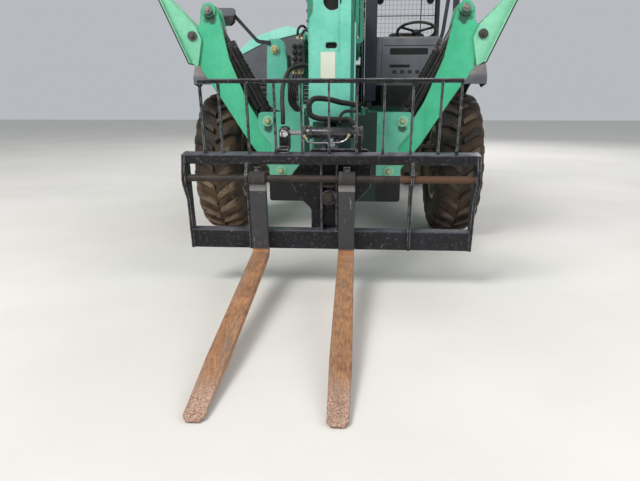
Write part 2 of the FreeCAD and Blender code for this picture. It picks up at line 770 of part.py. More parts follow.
def make_ram(name, place, length, ram):
    """A barrel bored for its rod along its own +Y, with an eye on each; the far eye is open."""
    barrel = Piece(name + "_barrel", **place)
    bore = ram.rod_radius + S.running_fit
    barrel.turn(SIDE, "H_Axis", [
        (40, 0), (ram.eye_radius, 0), (ram.eye_radius, bore), (ram.barrel, bore),
        (ram.barrel, ram.radius + 8), (ram.barrel - 50, ram.radius + 8), (ram.barrel - 50, ram.radius),
        (40, ram.radius)])
    barrel.pad(SIDE, -ram.eye_half, ram.eye_half, Disc(0, 0, ram.eye_radius - 20))
    barrel.cut(SIDE, -ram.radius - 20, ram.radius + 20, Disc(0, 0, ram.pin_radius + S.running_fit))
    rod = Piece(name + "_rod", **place)
    rod.turn(SIDE, "H_Axis", [
        (ram.rod_start, 0), (length, 0), (length, ram.rod_radius), (ram.rod_start, ram.rod_radius)])
    rod.pad(SIDE, -ram.eye_half, ram.eye_half, Disc(length, 0, ram.rod_radius + 12))
    rod.cut(SIDE, -ram.eye_half - 5, ram.eye_half + 5, Disc(length, 0, ram.rod_radius - 18))
    return barrel, rod


def make_tilt_ram():
    """Ram in the boom head; its rod's eye lies between the coupler's middle lugs."""
    ear_y, ear_z = tilt_ear()
    run, rise = ear_y - S.tilt_barrel_y, ear_z - S.tilt_barrel_z
    place = {"at": (0, S.tilt_barrel_y, S.tilt_barrel_z), "axis": (1, 0, 0), "angle": heading(rise, run)}
    return make_ram("tilt", place, distance(run, rise), Ram(
        S.tilt_ram_radius, S.tilt_rod_radius, 600, S.tilt_pin_radius, 75, 26, 220))


def tilt_ear():
    """Where the tilt ram's rod meets the coupler, in the machine's side view."""
    return (S.tilt_pivot_y + S.tilt_ear_arm * cosine(S.tilt_ear_angle),
            S.tilt_pivot_z + S.tilt_ear_arm * sine(S.tilt_ear_angle))


def on_carriage(y, z):
    """A point of the machine's side view, on the tilted carriage's own axes."""
    lean_cos, lean_sin = cosine(S.carriage_tilt), sine(S.carriage_tilt)
    back, up = size(y) - S.heel_y, size(z) - S.heel_z
    return back * lean_cos + up * lean_sin, up * lean_cos - back * lean_sin


def carriage_piece(name):
    return Piece(name, at=(0, S.heel_y, S.heel_z), axis=(1, 0, 0), angle=S.carriage_tilt)


def make_coupler():
    """Tilting coupler behind the carriage: back plate, ears, side-tilt pin and its ram's barrel."""
    coupler = carriage_piece("coupler")
    back = S.beam_front + S.beam_depth + 8
    pin_u, pin_v = on_carriage(S.tilt_pivot_y, S.tilt_pivot_z)
    ear_u, ear_v = on_carriage(*tilt_ear())
    coupler.pad(FRONT, back, back + 20, [
        (-120, 60, 40), (120, 60, 40), (120, 250, 60), (200, 330, 60), (260, 400, 40), (260, 520), (250, 640, 40),
        (-110, 640, 20), (-260, 450, 40), (-200, 330, 60), (-120, 250, 60)])
    cheek = [(back + 10, 330), (pin_u, pin_v - 70, 60), (pin_u + 75, pin_v, 60), (pin_u, pin_v + 75, 60),
             (back + 10, 560)]
    inner = S.head_half_width + 5
    for side in SIDES.values():
        low, high = span(side, inner, inner + 20)
        coupler.pad(SIDE, low, high, cheek)
        low, high = span(side, 32, 52)
        coupler.pad(SIDE, low, high, [
            (back + 10, 400), (ear_u + 20, ear_v - 60, 40), (ear_u + 62, ear_v, 40), (ear_u, ear_v + 62, 40),
            (back + 10, 635)])
    coupler.pad(SIDE, -inner - 30, inner + 30, Disc(pin_u, pin_v, S.tilt_pin_radius))
    coupler.pad(FRONT, S.beam_front + 10, back + 5, Disc(0, S.side_pivot_z, S.side_pin_radius))
    axis_y, axis_z = side_ram_axis()
    coupler.pad(FRONT, back, axis_y + 20, box(150, 200, 600, axis_z))
    coupler.pad(SIDE, -175, 205, Disc(axis_y, axis_z, 34))
    coupler.cut(SIDE, -180, 135, Disc(axis_y, axis_z, S.side_rod_radius + S.running_fit))
    return coupler


def make_carriage():
    """Shaft-type fork frame: two beams, end plates, dividers, uprights, pivot tube and fork shaft."""
    carriage = carriage_piece("carriage_frame")
    front, depth = S.beam_front, S.beam_depth
    back = front + depth
    half = S.carriage_half
    top = S.top_beam_z + S.top_beam_height
    carriage.pad(SIDE, -half, half, box(front, back, 0, S.bottom_beam_height, 12))
    carriage.pad(SIDE, -half, half, box(front - 20, back, S.top_beam_z, top, 8))
    end = [(-14, S.shaft_z + 40, 30), (-14, S.shaft_z - 40, 30), (front, 330), (front, 0), (back, 0), (back, top),
           (front - 20, top)]
    for side in SIDES.values():
        low, high = span(side, half, half + S.end_plate)
        carriage.pad(SIDE, low, high, end)
        low, high = span(side, S.divider_x - S.divider_plate / 2, S.divider_x + S.divider_plate / 2)
        carriage.pad(SIDE, low, high, [
            (-12, S.shaft_z + 34, 28), (-12, S.shaft_z - 34, 28), (front + 4, 380), (front + 4, 100), (back, 100),
            (back, top - 10), (front, top - 10)])
        low, high = span(side, S.centre_plate_x - S.centre_plate / 2, S.centre_plate_x + S.centre_plate / 2)
        carriage.pad(SIDE, low, high, box(front + 4, back, 100, S.top_beam_z + 10))
    carriage.pad(SIDE, -half, half, Disc(S.shaft_y, S.shaft_z, S.shaft_radius))
    axis_y, axis_z = side_ram_axis()
    eye_x = -S.side_eye_x
    carriage.pad(SIDE, eye_x - 32, eye_x + 32, box(back - 40, axis_y + 40, top - 2, top + 22))
    for near in (axis_y - 40, axis_y + 28):
        carriage.pad(FRONT, near, near + 12, box(eye_x - 32, eye_x + 32, top + 10, axis_z + 34, 20))
    tube = Disc(0, S.side_pivot_z, S.centre_plate_x)
    carriage.pad(FRONT, front + 8, back, tube, Disc(0, S.side_pivot_z, S.side_pin_radius + S.running_fit))
    return carriage


def make_backrest():
    """Load backrest: one rail on eleven thin bars that stand on the carriage's top beam."""
    backrest = carriage_piece("backrest")
    foot = S.top_beam_z + S.top_beam_height
    near = S.beam_front + 15
    rail = S.backrest_top_z
    bars = [0] + [side * x for x in (165, 325, 490, 655, 766) for side in SIDES.values()]
    for bar_x in bars:
        low = size(bar_x) - S.backrest_bar / 2
        backrest.pad(SIDE, low, low + S.backrest_bar, box(near, near + S.backrest_depth, foot, rail - 10))
    backrest.pad(SIDE, -S.backrest_half, S.backrest_half,
                 box(near, near + S.backrest_depth, rail - 25, rail, 5))
    return backrest


def make_fork(name, middle):
    """Fork with its eye on the shaft, a tapered blade and a heel bend."""
    fork = carriage_piece(name)
    thick = S.fork_thickness
    blade = [
        (thick, S.shaft_z), (thick, -thick, 50), (-400, -thick), (-S.fork_length, -S.fork_tip_thickness, 6),
        (-S.fork_length, 0, 6), (0, 0, 20), (0, S.shaft_z)]
    half = S.fork_width / 2
    fork.pad(SIDE, middle - half, middle + half, blade)
    fork.pad(SIDE, middle - half, middle + half, Disc(S.shaft_y, S.shaft_z, S.fork_eye_radius))
    fork.cut(SIDE, middle - half - 5, middle + half + 5, Disc(S.shaft_y, S.shaft_z, S.shaft_radius + 0.3))
    tip = S.fork_tip_width / 2
    for side in SIDES.values():
        wedge = [(middle + half * side, -S.fork_length + 420), (middle + tip * side, -S.fork_length + 25),
                 (middle + (tip - 22) * side, -S.fork_length - 5), (middle + (half + 10) * side, -S.fork_length - 5),
                 (middle + (half + 10) * side, -S.fork_length + 420)]
        fork.cut(TOP, -thick - 10, 10, wedge if side < 0 else wedge[::-1])
    return fork


def make_side_tilt_rod():
    rod = carriage_piece("side_tilt_rod")
    axis_y, axis_z = side_ram_axis()
    eye_x = -S.side_eye_x
    rod.pad(SIDE, eye_x, 40, Disc(axis_y, axis_z, S.side_rod_radius))
    rod.pad(FRONT, axis_y - 20, axis_y + 20, Disc(eye_x, axis_z, 30))
    return rod


def side_ram_axis():
    """Depth and height of the side-tilt ram, on the carriage's axes."""
    return S.beam_front + S.beam_depth + 76, S.top_beam_z + S.top_beam_height + 102


def make_leg(name, side):
    """Stabilizer leg: two plates with a web along the outer edge, bosses at its three pins."""
    leg = Piece(name)
    top = (S.leg_top_x, S.leg_top_z)
    foot = (S.foot_pin_x, S.foot_pin_z)
    root_x, root_z = S.leg_pin_x, S.leg_pin_z
    loop = [
        (root_x - 62, root_z - 40, 50), (root_x + 40, root_z - 62, 50), (661, 900, 120), (853, 1200, 200),
        (1015, 1440, 80), (1022, foot[1] - 75, 40), (foot[0] + 62, foot[1] - 40, 50),
        (foot[0] + 45, foot[1] + 62, 50), (foot[0] - 55, foot[1] + 70, 40), (top[0] + 62, top[1] + 10, 50),
        (top[0] + 10, top[1] + 66, 50), (top[0] - 62, top[1] + 20, 40), (790, 1503, 200), (660, 1190, 200),
        (root_x - 20, root_z + 75, 60)]
    inner = S.stab_half - S.stab_plate
    bores = [Disc(x * side, z, S.stab_pin_radius + S.running_fit) for x, z in ((root_x, root_z), foot)]
    for near in (S.stab_y - S.stab_half, S.stab_y + inner):
        leg.pad(FRONT, near, near + S.stab_plate, mirrored(side, loop), *bores)
    boss = Disc(top[0] * side, top[1], 52)
    for near in (S.stab_y - S.stab_half - 14, S.stab_y + S.stab_half):
        leg.pad(FRONT, near, near + 14, boss)
    web = [(600, 830), (661, 900), (853, 1200), (985, 1396), (970, 1406), (838, 1210), (646, 910), (590, 842)]
    leg.pad(FRONT, S.stab_y - inner - 1, S.stab_y + inner + 1, mirrored(side, web))
    return leg


def make_foot(name, side):
    """Folding stabilizer foot: a pad under two tapered ears, on a pin through the leg."""
    foot = Piece(name, at=(S.foot_pin_x * side, S.stab_y, S.foot_pin_z), axis=(0, 1, 0), angle=-S.foot_fold * side)
    ear = [(-215, -62, 10), (-165, -95), (345, -95), (345, -60, 10), (50, 52, 45), (-50, 52, 45)]
    gap = S.stab_half + 5
    for near in (-gap - 12, gap):
        foot.pad(FRONT, near, near + 12, mirrored(side, ear))
    foot.pad(FRONT, -130, 130, mirrored(side, box(-170, 350, -110, -92)))
    foot.pad(FRONT, -gap - 16, gap + 16, Disc(0, 0, S.stab_pin_radius))
    return foot


def make_stab_ram(name, side):
    run, rise = S.leg_top_x - S.ram_pin_x, S.leg_top_z - S.ram_pin_z
    return make_upright_ram(name, (S.ram_pin_x * side, S.stab_y, S.ram_pin_z), heading(run, rise) * side,
                            distance(run, rise))


def make_upright_ram(name, at, angle, length):
    """A stabilizer's ram along its own +Z."""
    barrel = Piece(name + "_barrel", at=at, axis=(0, 1, 0), angle=angle)
    bore = S.ram_rod_radius + S.running_fit
    barrel.turn(FRONT, "V_Axis", [
        (0, 35), (S.ram_radius, 35), (S.ram_radius, S.ram_barrel - 40), (S.ram_radius + 5, S.ram_barrel - 40),
        (S.ram_radius + 5, S.ram_barrel), (bore, S.ram_barrel), (bore, 90), (0, 90)])
    barrel.pad(FRONT, -48, 48, Disc(0, 0, 50))
    barrel.cut(FRONT, -60, 60, Disc(0, 0, S.stab_pin_radius + S.running_fit))
    rod = Piece(name + "_rod", at=at, axis=(0, 1, 0), angle=angle)
    rod.turn(FRONT, "V_Axis", [(0, 100), (S.ram_rod_radius, 100), (S.ram_rod_radius, length), (0, length)])
    rod.pad(FRONT, -40, 40, Disc(0, length, 42))
    rod.cut(FRONT, -50, 50, Disc(0, length, 22))
    return barrel, rod


def make_pod():
    """Engine bay on the machine's right: floor, outer wall and end walls, open under the hood."""
    pod = Piece("engine_pod")
    outer, inner = S.pod_outer_x, S.pod_inner_x
    wall = S.pod_wall
    floor = S.pod_floor_z
    shell = [
        (-inner, floor), (-inner, floor + wall), (wall + 40 - outer, floor + wall), (wall - outer, floor + wall + 60),
        (wall - outer, 1640), (-outer, 1640), (-outer, floor + 50), (30 - outer, floor)]
    pod.pad(FRONT, S.pod_front_y + wall, S.pod_rear_y - wall, shell)
    end = [(-inner, floor), (30 - outer, floor), (-outer, floor + 50), (-outer, 1640), (-1040, 1760, 60),
           (-780, 1850, 100), (-560, 1905, 100), (-inner, 1880)]
    pin_x = -S.hood_hinge_x
    for near in (S.pod_front_y, S.pod_rear_y - wall):
        pod.pad(FRONT, near, near + wall, end[::-1])
        pod.pad(FRONT, near, near + wall, box(pin_x - 60, pin_x + 11, 1840, S.hood_hinge_z + 11, 8))
        slots = pod.cut(FRONT, near - 5, near + wall + 5, *louvre_pair((-1085, -790), (-760, -480), 960))
        pod.row(slots, "Z_Axis", S.louvre_pitch, 10)
    slots = pod.cut(SIDE, -outer - 5, wall + 5 - outer, *louvre_pair((1040, 1380), (1440, 1780), 1060))
    pod.row(slots, "Z_Axis", S.louvre_pitch, 9)
    pod.pad(FRONT, S.pod_front_y, S.pod_rear_y, Disc(pin_x, S.hood_hinge_z, S.hood_pin_radius))
    pipe = (-980, S.pod_floor_z + 110)
    pod.pad(FRONT, S.pod_rear_y - wall, S.pod_rear_y + 80, Disc(*pipe, S.exhaust_radius), Disc(*pipe, 32))
    return pod


def louvre_pair(first, second, low):
    """Two slots side by side, each from its start to its end, with the lower edge at low."""
    return [box(start, end, low, low + S.louvre_height) for start, end in (first, second)]


def make_hood():
    """Curved engine hood, hinged along its inner edge beside the boom."""
    hood = Piece("engine_hood")
    skin = [
        (-1158, 1645), (-1158, 1700, 80), (-950, 1868, 200), (-700, 1956, 120), (-570, 1984, 120), (-400, 1938),
        (-400, 1926), (-570, 1972, 110), (-700, 1944, 110), (-945, 1855, 190), (-1150, 1697, 70), (-1150, 1645)]
    hood.pad(FRONT, S.pod_front_y - 12, S.pod_rear_y + 12, skin)
    cap = [(-1150, 1676), (-1154, 1700, 60), (-948, 1862, 190), (-700, 1950, 110), (-570, 1978, 110), (-402, 1932),
           (-430, 1915), (-823, 1823, 60), (-1131, 1676)]
    hood.pad(FRONT, S.pod_front_y - 12, S.pod_front_y - 4, cap)
    hood.pad(FRONT, S.pod_rear_y + 4, S.pod_rear_y + 12, cap)
    hinge = (-S.hood_hinge_x, S.hood_hinge_z)
    hood.pad(FRONT, S.pod_front_y + 20, S.pod_rear_y - 20, Disc(*hinge, 24),
             Disc(*hinge, S.hood_pin_radius + S.running_fit))
    return hood


def make_engine():
    engine = Piece("engine_block")
    engine.pad(FRONT, 560, 1500, box(-1000, -520, S.pod_floor_z + S.pod_wall, 1560, 60))
    return engine


def make_tower():
    """Frame-level ram tower on the right: two plates with a pin, tied to the chassis side plate."""
    tower = Piece("level_tower")
    inner = S.frame_half_width
    loop = [(-inner, 1040), (-inner, 1150), (-455, 1230), (-460, 1560), (-500, 1740, 40), (-632, 1740, 40),
            (-640, 1560), (-650, 1180, 40), (-560, 1130)]
    for near in (S.tower_y - S.tower_half - S.tower_plate, S.tower_y + S.tower_half):
        tower.pad(FRONT, near, near + S.tower_plate, loop[::-1])
    reach = S.tower_half + S.tower_plate + 10
    tower.pad(FRONT, S.tower_y - reach, S.tower_y + reach, Disc(-S.tower_pin_x, S.tower_pin_z, S.tower_pin_radius))
    return tower


def make_level_ram():
    drop = S.tower_pin_z - S.level_foot_z
    ram = Piece("level_ram", at=(-S.tower_pin_x, S.tower_y, S.tower_pin_z))
    ram.turn(FRONT, "V_Axis", [(0, -drop + 30), (24, -drop + 30), (24, -480), (45, -480), (45, -40), (0, -40)])
    for eye_z in (0, -drop):
        eye = Disc(0, eye_z, 45)
        bore = Disc(0, eye_z, S.tower_pin_radius + S.running_fit)
        ram.pad(FRONT, -36, 36, eye)
        ram.cut(FRONT, -40, 40, bore)
    return ram


def make_cab():
    """Open cab: posts, roof, floor and the lower walls behind and beside the seat."""
    cab = Piece("cab_frame")
    low_x, high_x = S.cab_inner_x, S.cab_outer_x
    low_y, high_y = S.cab_front_y, S.cab_rear_y
    tube = S.cab_tube
    floor, roof = S.cab_floor_z, S.cab_roof_z
    cab.pad(TOP, floor, floor + 12, box(low_x, high_x, low_y, high_y))
    for post_x in (low_x, high_x - tube):
        for post_y in (low_y, high_y - tube):
            cab.pad(TOP, floor, roof - 30, box(post_x, post_x + tube, post_y, post_y + tube, 12))
    outer = box(low_x, high_x, low_y - 40, high_y, 70)
    bay = box(low_x + tube, high_x - tube, low_y + tube, high_y - tube, 30)
    cab.pad(TOP, roof - 60, roof, outer, bay)
    for bar in range(1, 8):
        bar_x = low_x + (high_x - low_x) * (bar / 8)
        cab.pad(FRONT, low_y + tube - 5, high_y - tube + 5, box(bar_x - 10, bar_x + 10, roof - 58, roof - 38))
    lamps = [Disc(lamp_x, roof - 88, S.work_lamp_radius) for lamp_x in (low_x + 180, high_x - 120)]
    cab.pad(FRONT, low_y - 36, low_y + 10, *lamps)
    cab.pad(FRONT, high_y - 50, high_y - 4, *lamps)
    cab.pad(TOP, roof - 12, roof - 4, box(low_x + 40, high_x - 40, low_y + 40, high_y - 40))
    cab.pad(FRONT, high_y - 30, high_y - 20, box(low_x + 20, high_x - 20, floor, 1640))
    cab.pad(SIDE, low_x + 20, low_x + 30, box(low_y + 20, high_y - 20, floor, 1560))
    return cab


def make_console():
    """Dash cowl across the cab's front with its shelf of slots."""
    console = Piece("cab_console")
    low_x, high_x = S.console_x, S.cab_outer_x - 170
    lean_cos, lean_sin = cosine(S.steer_wheel_lean), sine(S.steer_wheel_lean)
    foot_y = S.steer_wheel_y - S.column_length * lean_sin
    foot_z = S.steer_wheel_z - S.column_length * lean_cos
    panel = [(foot_y + along * lean_cos, foot_z - along * lean_sin) for along in (-90, 45)]
    console.pad(SIDE, low_x, high_x, [
        (300, 1162), (330, 1162), (330, 1360), (500, 1480, 40), (530, 1700, 60), (panel[1][0], panel[1][1], 20),
        panel[0], (300, 1872, 30)])
    console.cut(FRONT, 280, 340, box(504, 904, 1690, 1755, 15))
    console.cut(FRONT, 280, 340, box(504, 720, 1560, 1590, 10))
    return console


def make_seat():
    seat = Piece("cab_seat")
    middle = S.seat_x
    seat.pad(TOP, S.cab_floor_z + 12, 1480, box(middle - 150, middle + 150, 1130, 1480, 30))
    seat.pad(SIDE, middle - 250, middle + 250, [
        (1040, 1480, 30), (1620, 1480, 30), (1700, 2080, 40), (1600, 2080, 40), (1500, 1610, 30), (1040, 1590, 40)])
    return seat


def make_steering_wheel():
    wheel = Piece("steering_wheel", at=(S.steer_wheel_x, S.steer_wheel_y, S.steer_wheel_z), axis=(1, 0, 0),
                  angle=-S.steer_wheel_lean)
    rim = S.steer_wheel_radius
    wheel.turn(FRONT, "V_Axis", [
        (rim - 14, -12, 10), (rim + 14, -12, 10), (rim + 14, 12, 10), (rim - 14, 12, 10)])
    wheel.turn(FRONT, "V_Axis", [
        (0, 6), (48, 6), (48, -30), (20, -50), (20, -S.column_length), (0, -S.column_length)][::-1])
    spokes = []
    for turn in (90, 210, 330):
        cos_t, sin_t = math.cos(math.radians(turn)), math.sin(math.radians(turn))
        spokes.append([
            (size(30) * cos_t - size(14) * sin_t * -1, size(30) * sin_t - size(14) * cos_t),
            ((rim - 8) * cos_t + size(14) * sin_t, (rim - 8) * sin_t - size(14) * cos_t),
            ((rim - 8) * cos_t - size(14) * sin_t, (rim - 8) * sin_t + size(14) * cos_t),
            (size(30) * cos_t - size(14) * sin_t, size(30) * sin_t + size(14) * cos_t)])
    for spoke in spokes:
        wheel.pad(TOP, -8, 4, spoke)
    return wheel


def make_tank():
    """Fuel and oil tank under the cab with two steps cut into its outer face."""
    tank = Piece("tank_box")
    low_x, high_x = S.cab_inner_x + 60, S.cab_outer_x - 30
    top = S.cab_floor_z - S.outrigger_beam
    tank.pad(FRONT, S.cab_front_y + 60, S.cab_rear_y - 10, box(low_x, high_x, 540, top, 60))
    for step_z in (640, 860):
        tank.cut(SIDE, high_x - 160, high_x + 10, box(860, 1260, step_z, step_z + 150, 20))
    return tank


def make_fenders(name, end, axle_y, toward):
    """Moulded fenders over one axle's wheels, with a tail that reaches the cab or engine bay."""
    fenders = Piece(name)
    radius = S.tyre_radius + S.fender_gap
    crown = S.tyre_radius * 2 + 240
    skin = S.fender_skin
    for side in SIDES.values():
        wall = S.cab_front_y if side > 0 else S.pod_front_y
        if end == "rear":
            wall = S.cab_rear_y if side > 0 else S.pod_rear_y
        low, high = span(side, S.fender_inner_x, S.fender_outer_x)
        loop = [(axle_y - 480 * toward, S.fender_lip_z), (axle_y - 490 * toward, crown - 110, 40),
                (axle_y - 400 * toward, crown, 60), (axle_y + 380 * toward, crown, 60),
                (axle_y + 480 * toward, crown - 70, 40), (wall, crown - 90), (wall, crown - 130),
                (axle_y + 480 * toward, S.fender_skirt_z)]
        fenders.pad(SIDE, low, high, loop if toward < 0 else loop[::-1])
        hollow = [(axle_y - (480 - skin) * toward, S.fender_skirt_z - 20),
                  (axle_y - (490 - skin) * toward, crown - 110, 34), (axle_y - 396 * toward, crown - skin, 54),
                  (axle_y + 376 * toward, crown - skin, 54), (axle_y + (480 - skin) * toward, crown - 78, 34),
                  (axle_y + (480 - skin) * toward, S.fender_skirt_z - 20)]
        fenders.cut(SIDE, low + skin, high - skin, hollow if toward < 0 else hollow[::-1])
        fenders.cut(SIDE, low - 5, high + 5, Disc(axle_y, S.tyre_radius, radius))
    return fenders


def make_valve_block():
    block = Piece("valve_block")
    seat = S.tower_y + S.tower_half + S.tower_plate
    block.pad(FRONT, seat - 120, seat + 12, box(-425, -315, 1480, 1740, 12))
    block.pad(FRONT, seat, seat + 12, [(-530, 1500), (-320, 1500), (-320, 1580), (-530, 1630)])
    return block


def make_mirror():
    """Bracket plate with a drop-shaped work lamp under it, on an arm from the tower."""
    mirror = Piece("mirror")
    seat = S.tower_y - S.tower_half - S.tower_plate
    mirror.pad(FRONT, seat - 60, seat + 30, box(-1100, -912, 1925, 1988, 8))
    mirror.pad(FRONT, seat - 66, seat + 10, [(-1062, 1930), (-1062, 1880, 30), (-1030, 1850, 30), (-945, 1850, 30),
                                             (-912, 1880, 30), (-912, 1930)])
    mirror.pad(FRONT, seat - 14, seat, [
        (-925, 1920), (-720, 1702, 60), (-605, 1690), (-605, 1722), (-710, 1732, 60), (-912, 1950)])
    return mirror


frame_piece = make_frame()
add_stabilizer_brackets(frame_piece)
make_counterweight()
make_hitch()
for end_name, axle_place in AXLES.items():
    make_axle(end_name, axle_place)
    for side_name, side_sign in SIDES.items():
        corner_name = end_name + "_" + side_name
        make_knuckle("knuckle_" + corner_name, side_sign, axle_place)
        make_rim("rim_" + corner_name, side_sign, axle_place)
        make_tyre("tyre_" + corner_name, side_sign, axle_place)
make_boom_base()
make_boom_mid()
make_boom_fly()
make_lift_ram()
make_tilt_ram()
make_coupler()
make_carriage()
make_backrest()
make_side_tilt_rod()
make_fork("fork_left", S.fork_left_x)
make_fork("fork_right", S.fork_right_x)
for side_name, side_sign in SIDES.items():
    make_leg("stab_leg_" + side_name, side_sign)
    make_foot("stab_foot_" + side_name, side_sign)
    make_stab_ram("stab_" + side_name, side_sign)
make_pod()
make_hood()
make_engine()
make_tower()
make_level_ram()
make_cab()
make_console()
make_seat()
make_steering_wheel()
make_tank()
make_fenders("fenders_front", "front", S.front_axle_y, 1)
make_fenders("fenders_rear", "rear", rear_axle_y, -1)
make_valve_block()
make_mirror()

doc.recompute()
os.makedirs("parts", exist_ok=True)
broken = [item.Name for item in doc.Objects if "Invalid" in item.State or "Error" in item.State]
if broken:
    raise SystemExit("failed: " + ", ".join(broken))
bodies = [item for item in doc.Objects if item.TypeId == "PartDesign::Body"]
for body in bodies:
    if body.Shape.isNull() or not body.Shape.isValid():
        raise SystemExit("bad shape: " + body.Label)
for body in bodies:
    body.Shape.exportStep("parts/%s.step" % body.Label)
    bounds = body.Shape.BoundBox
    corners = (bounds.XMin, bounds.XMax, bounds.YMin, bounds.YMax, bounds.ZMin, bounds.ZMax)
    print(body.Label, len(body.Shape.Solids), "%.0f %.0f  %.0f %.0f  %.0f %.0f" % corners)
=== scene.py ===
import math
import random

import bmesh
import bpy
from mathutils import Matrix, Vector


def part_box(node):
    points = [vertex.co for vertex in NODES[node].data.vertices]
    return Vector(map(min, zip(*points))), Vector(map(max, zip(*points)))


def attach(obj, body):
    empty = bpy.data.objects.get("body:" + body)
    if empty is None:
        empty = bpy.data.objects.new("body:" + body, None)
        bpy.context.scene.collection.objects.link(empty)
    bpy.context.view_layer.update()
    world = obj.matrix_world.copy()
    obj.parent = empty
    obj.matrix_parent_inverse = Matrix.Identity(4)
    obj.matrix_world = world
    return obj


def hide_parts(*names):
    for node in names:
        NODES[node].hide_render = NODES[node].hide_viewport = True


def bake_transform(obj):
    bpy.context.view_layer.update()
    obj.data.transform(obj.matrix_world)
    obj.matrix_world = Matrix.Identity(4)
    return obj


# Looks of the telehandler. Metres; +X is the machine's left, +Y its rear, +Z up.
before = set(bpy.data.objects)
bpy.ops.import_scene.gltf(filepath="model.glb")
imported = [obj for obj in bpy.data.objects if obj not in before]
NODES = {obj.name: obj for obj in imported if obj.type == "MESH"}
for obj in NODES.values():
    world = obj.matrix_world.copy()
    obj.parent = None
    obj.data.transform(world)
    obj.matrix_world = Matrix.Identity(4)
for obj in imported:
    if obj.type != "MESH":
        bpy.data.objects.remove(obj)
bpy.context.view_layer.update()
chance = random.Random(7)


def axes(place, degrees):
    """Own axes of a part that is turned about X."""
    return Matrix.Translation(place) @ Matrix.Rotation(math.radians(degrees), 4, "X")


WORLD = Matrix.Identity(4)
CARRIAGE = axes((0, -2.43, 0.256), 8.6)
BOOM = axes((0, 3.25, 2.05), 2.5)
ORIGIN, X, Z = (0, 0, 0), (1, 0, 0), (0, 0, 1)
FORWARD, RIGHT, DOWN = (0, -1, 0), (-1, 0, 0), (0, 0, -1)
SIDES = (("left", 1), ("right", -1))
AXLES = (("front", -0.51), ("rear", 2.71))
HUB_X, HUB_Z = 1.06, 0.64
HEAD_Y = -2.11
STAB_Y = -1.5
BRACKET_PINS = ((0.414, 0.68), (0.508, 1.056))
KNEE_X, KNEE_Z = 1.058, 1.668
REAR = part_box("counterweight")[1].y


# ---- finishes ----

def rgb(red, green, blue):
    """A colour as a screen shows it, for the shader."""
    values = []
    for part in (red, green, blue):
        part /= 255
        values.append(part / 12.92 if part <= 0.04045 else ((part + 0.055) / 1.055) ** 2.4)
    return (*values, 1.0)


def shade(color, factor, lift=0.0):
    return (*(min(1.0, factor * part + lift) for part in color[:3]), 1.0)


RUST = rgb(118, 66, 38)
DUST = rgb(176, 158, 132)
BARE = rgb(140, 136, 128)
FINISHES = {}


class Finish:
    """A material put together from a few node steps."""

    def __init__(self, name):
        self.material = bpy.data.materials.new(name)
        self.material.use_nodes = True
        self.tree = self.material.node_tree
        self.tree.nodes.clear()
        self.shader = self.add("BsdfPrincipled")
        output = self.add("OutputMaterial")
        self.link(self.shader.outputs[0], output.inputs[0])
        self.place = self.add("TexCoord").outputs["Object"]
        self.normal = self.add("NewGeometry").outputs["Normal"]
        FINISHES[name] = self

    def add(self, kind, **settings):
        node = self.tree.nodes.new("ShaderNode" + kind)
        for name, value in settings.items():
            if name in node.inputs:
                node.inputs[name].default_value = value
            else:
                setattr(node, name, value)
        return node

    def link(self, source, target):
        self.tree.links.new(source, target)

    def feed(self, socket, value):
        """Gives an input a plain value or a link."""
        if isinstance(value, (int, float, tuple)):
            socket.default_value = value
        else:
            self.link(value, socket)

    def noise(self, scale, detail=4.0, rough=0.6, stretch=None):
        node = self.add("TexNoise", Scale=scale, Detail=detail, Roughness=rough)
        source = self.place
        if stretch:
            mapping = self.add("Mapping", Scale=stretch)
            self.link(source, mapping.inputs["Vector"])
            source = mapping.outputs[0]
        self.link(source, node.inputs["Vector"])
        return node.outputs[0]

    def ramp(self, value, low, high, to_low=0.0, to_high=1.0, kind="SMOOTHSTEP"):
        node = self.add("MapRange", interpolation_type=kind)
        for name, number in zip(("From Min", "From Max", "To Min", "To Max"),
                (low, high, to_low, to_high)):
            node.inputs[name].default_value = number
        self.link(value, node.inputs["Value"])
        return node.outputs[0]

    def math(self, kind, first, second):
        node = self.add("Math", operation=kind)
        for socket, value in zip(node.inputs, (first, second)):
            self.feed(socket, value)
        return node.outputs[0]

    def times(self, first, second):
        return self.math("MULTIPLY", first, second)

    def most(self, first, second):
        return self.math("MAXIMUM", first, second)

    def vector(self, kind, first, second=None):
        """The outputs of a vector step on one link and, where given, a fixed second vector."""
        node = self.add("VectorMath", operation=kind)
        self.link(first, node.inputs[0])
        if second is not None:
            node.inputs[1].default_value = second
        return node.outputs

    def mix(self, factor, first, second):
        node = self.add("Mix", data_type="RGBA")
        for index, value in ((0, factor), (6, first), (7, second)):
            self.feed(node.inputs[index], value)
        return node.outputs[2]

    def axis(self, vector, index):
        node = self.add("SeparateXYZ")
        self.link(vector, node.inputs[0])
        return node.outputs[index]

    def edges(self, radius):
        """Near 1 on outer edges, from the difference of the rounded and the flat normal."""
        bevel = self.add("Bevel", samples=6, Radius=radius)
        dot = self.add("VectorMath", operation="DOT_PRODUCT")
        self.link(bevel.outputs[0], dot.inputs[0])
        self.link(self.normal, dot.inputs[1])
        return bevel.outputs[0], self.ramp(dot.outputs["Value"], 0.995, 0.9)

    def paint(self, color):
        self.color = color
        self.link(color, self.shader.inputs["Base Color"])

    def cover(self, factor, color):
        """Lays a colour over the finish where the factor is near 1."""
        self.paint(self.mix(factor, self.color, color))

    def done(self, color, rough, metal=0.0, bump=None, rounded=None, depth=0.0006, strength=0.5):
        self.paint(color)
        self.feed(self.shader.inputs["Roughness"], rough)
        self.feed(self.shader.inputs["Metallic"], metal)
        if bump is not None:
            node = self.add("Bump", Strength=strength, Distance=depth)
            self.link(bump, node.inputs["Height"])
            if rounded is not None:
                self.link(rounded, node.inputs["Normal"])
            self.link(node.outputs[0], self.shader.inputs["Normal"])
        return self.material


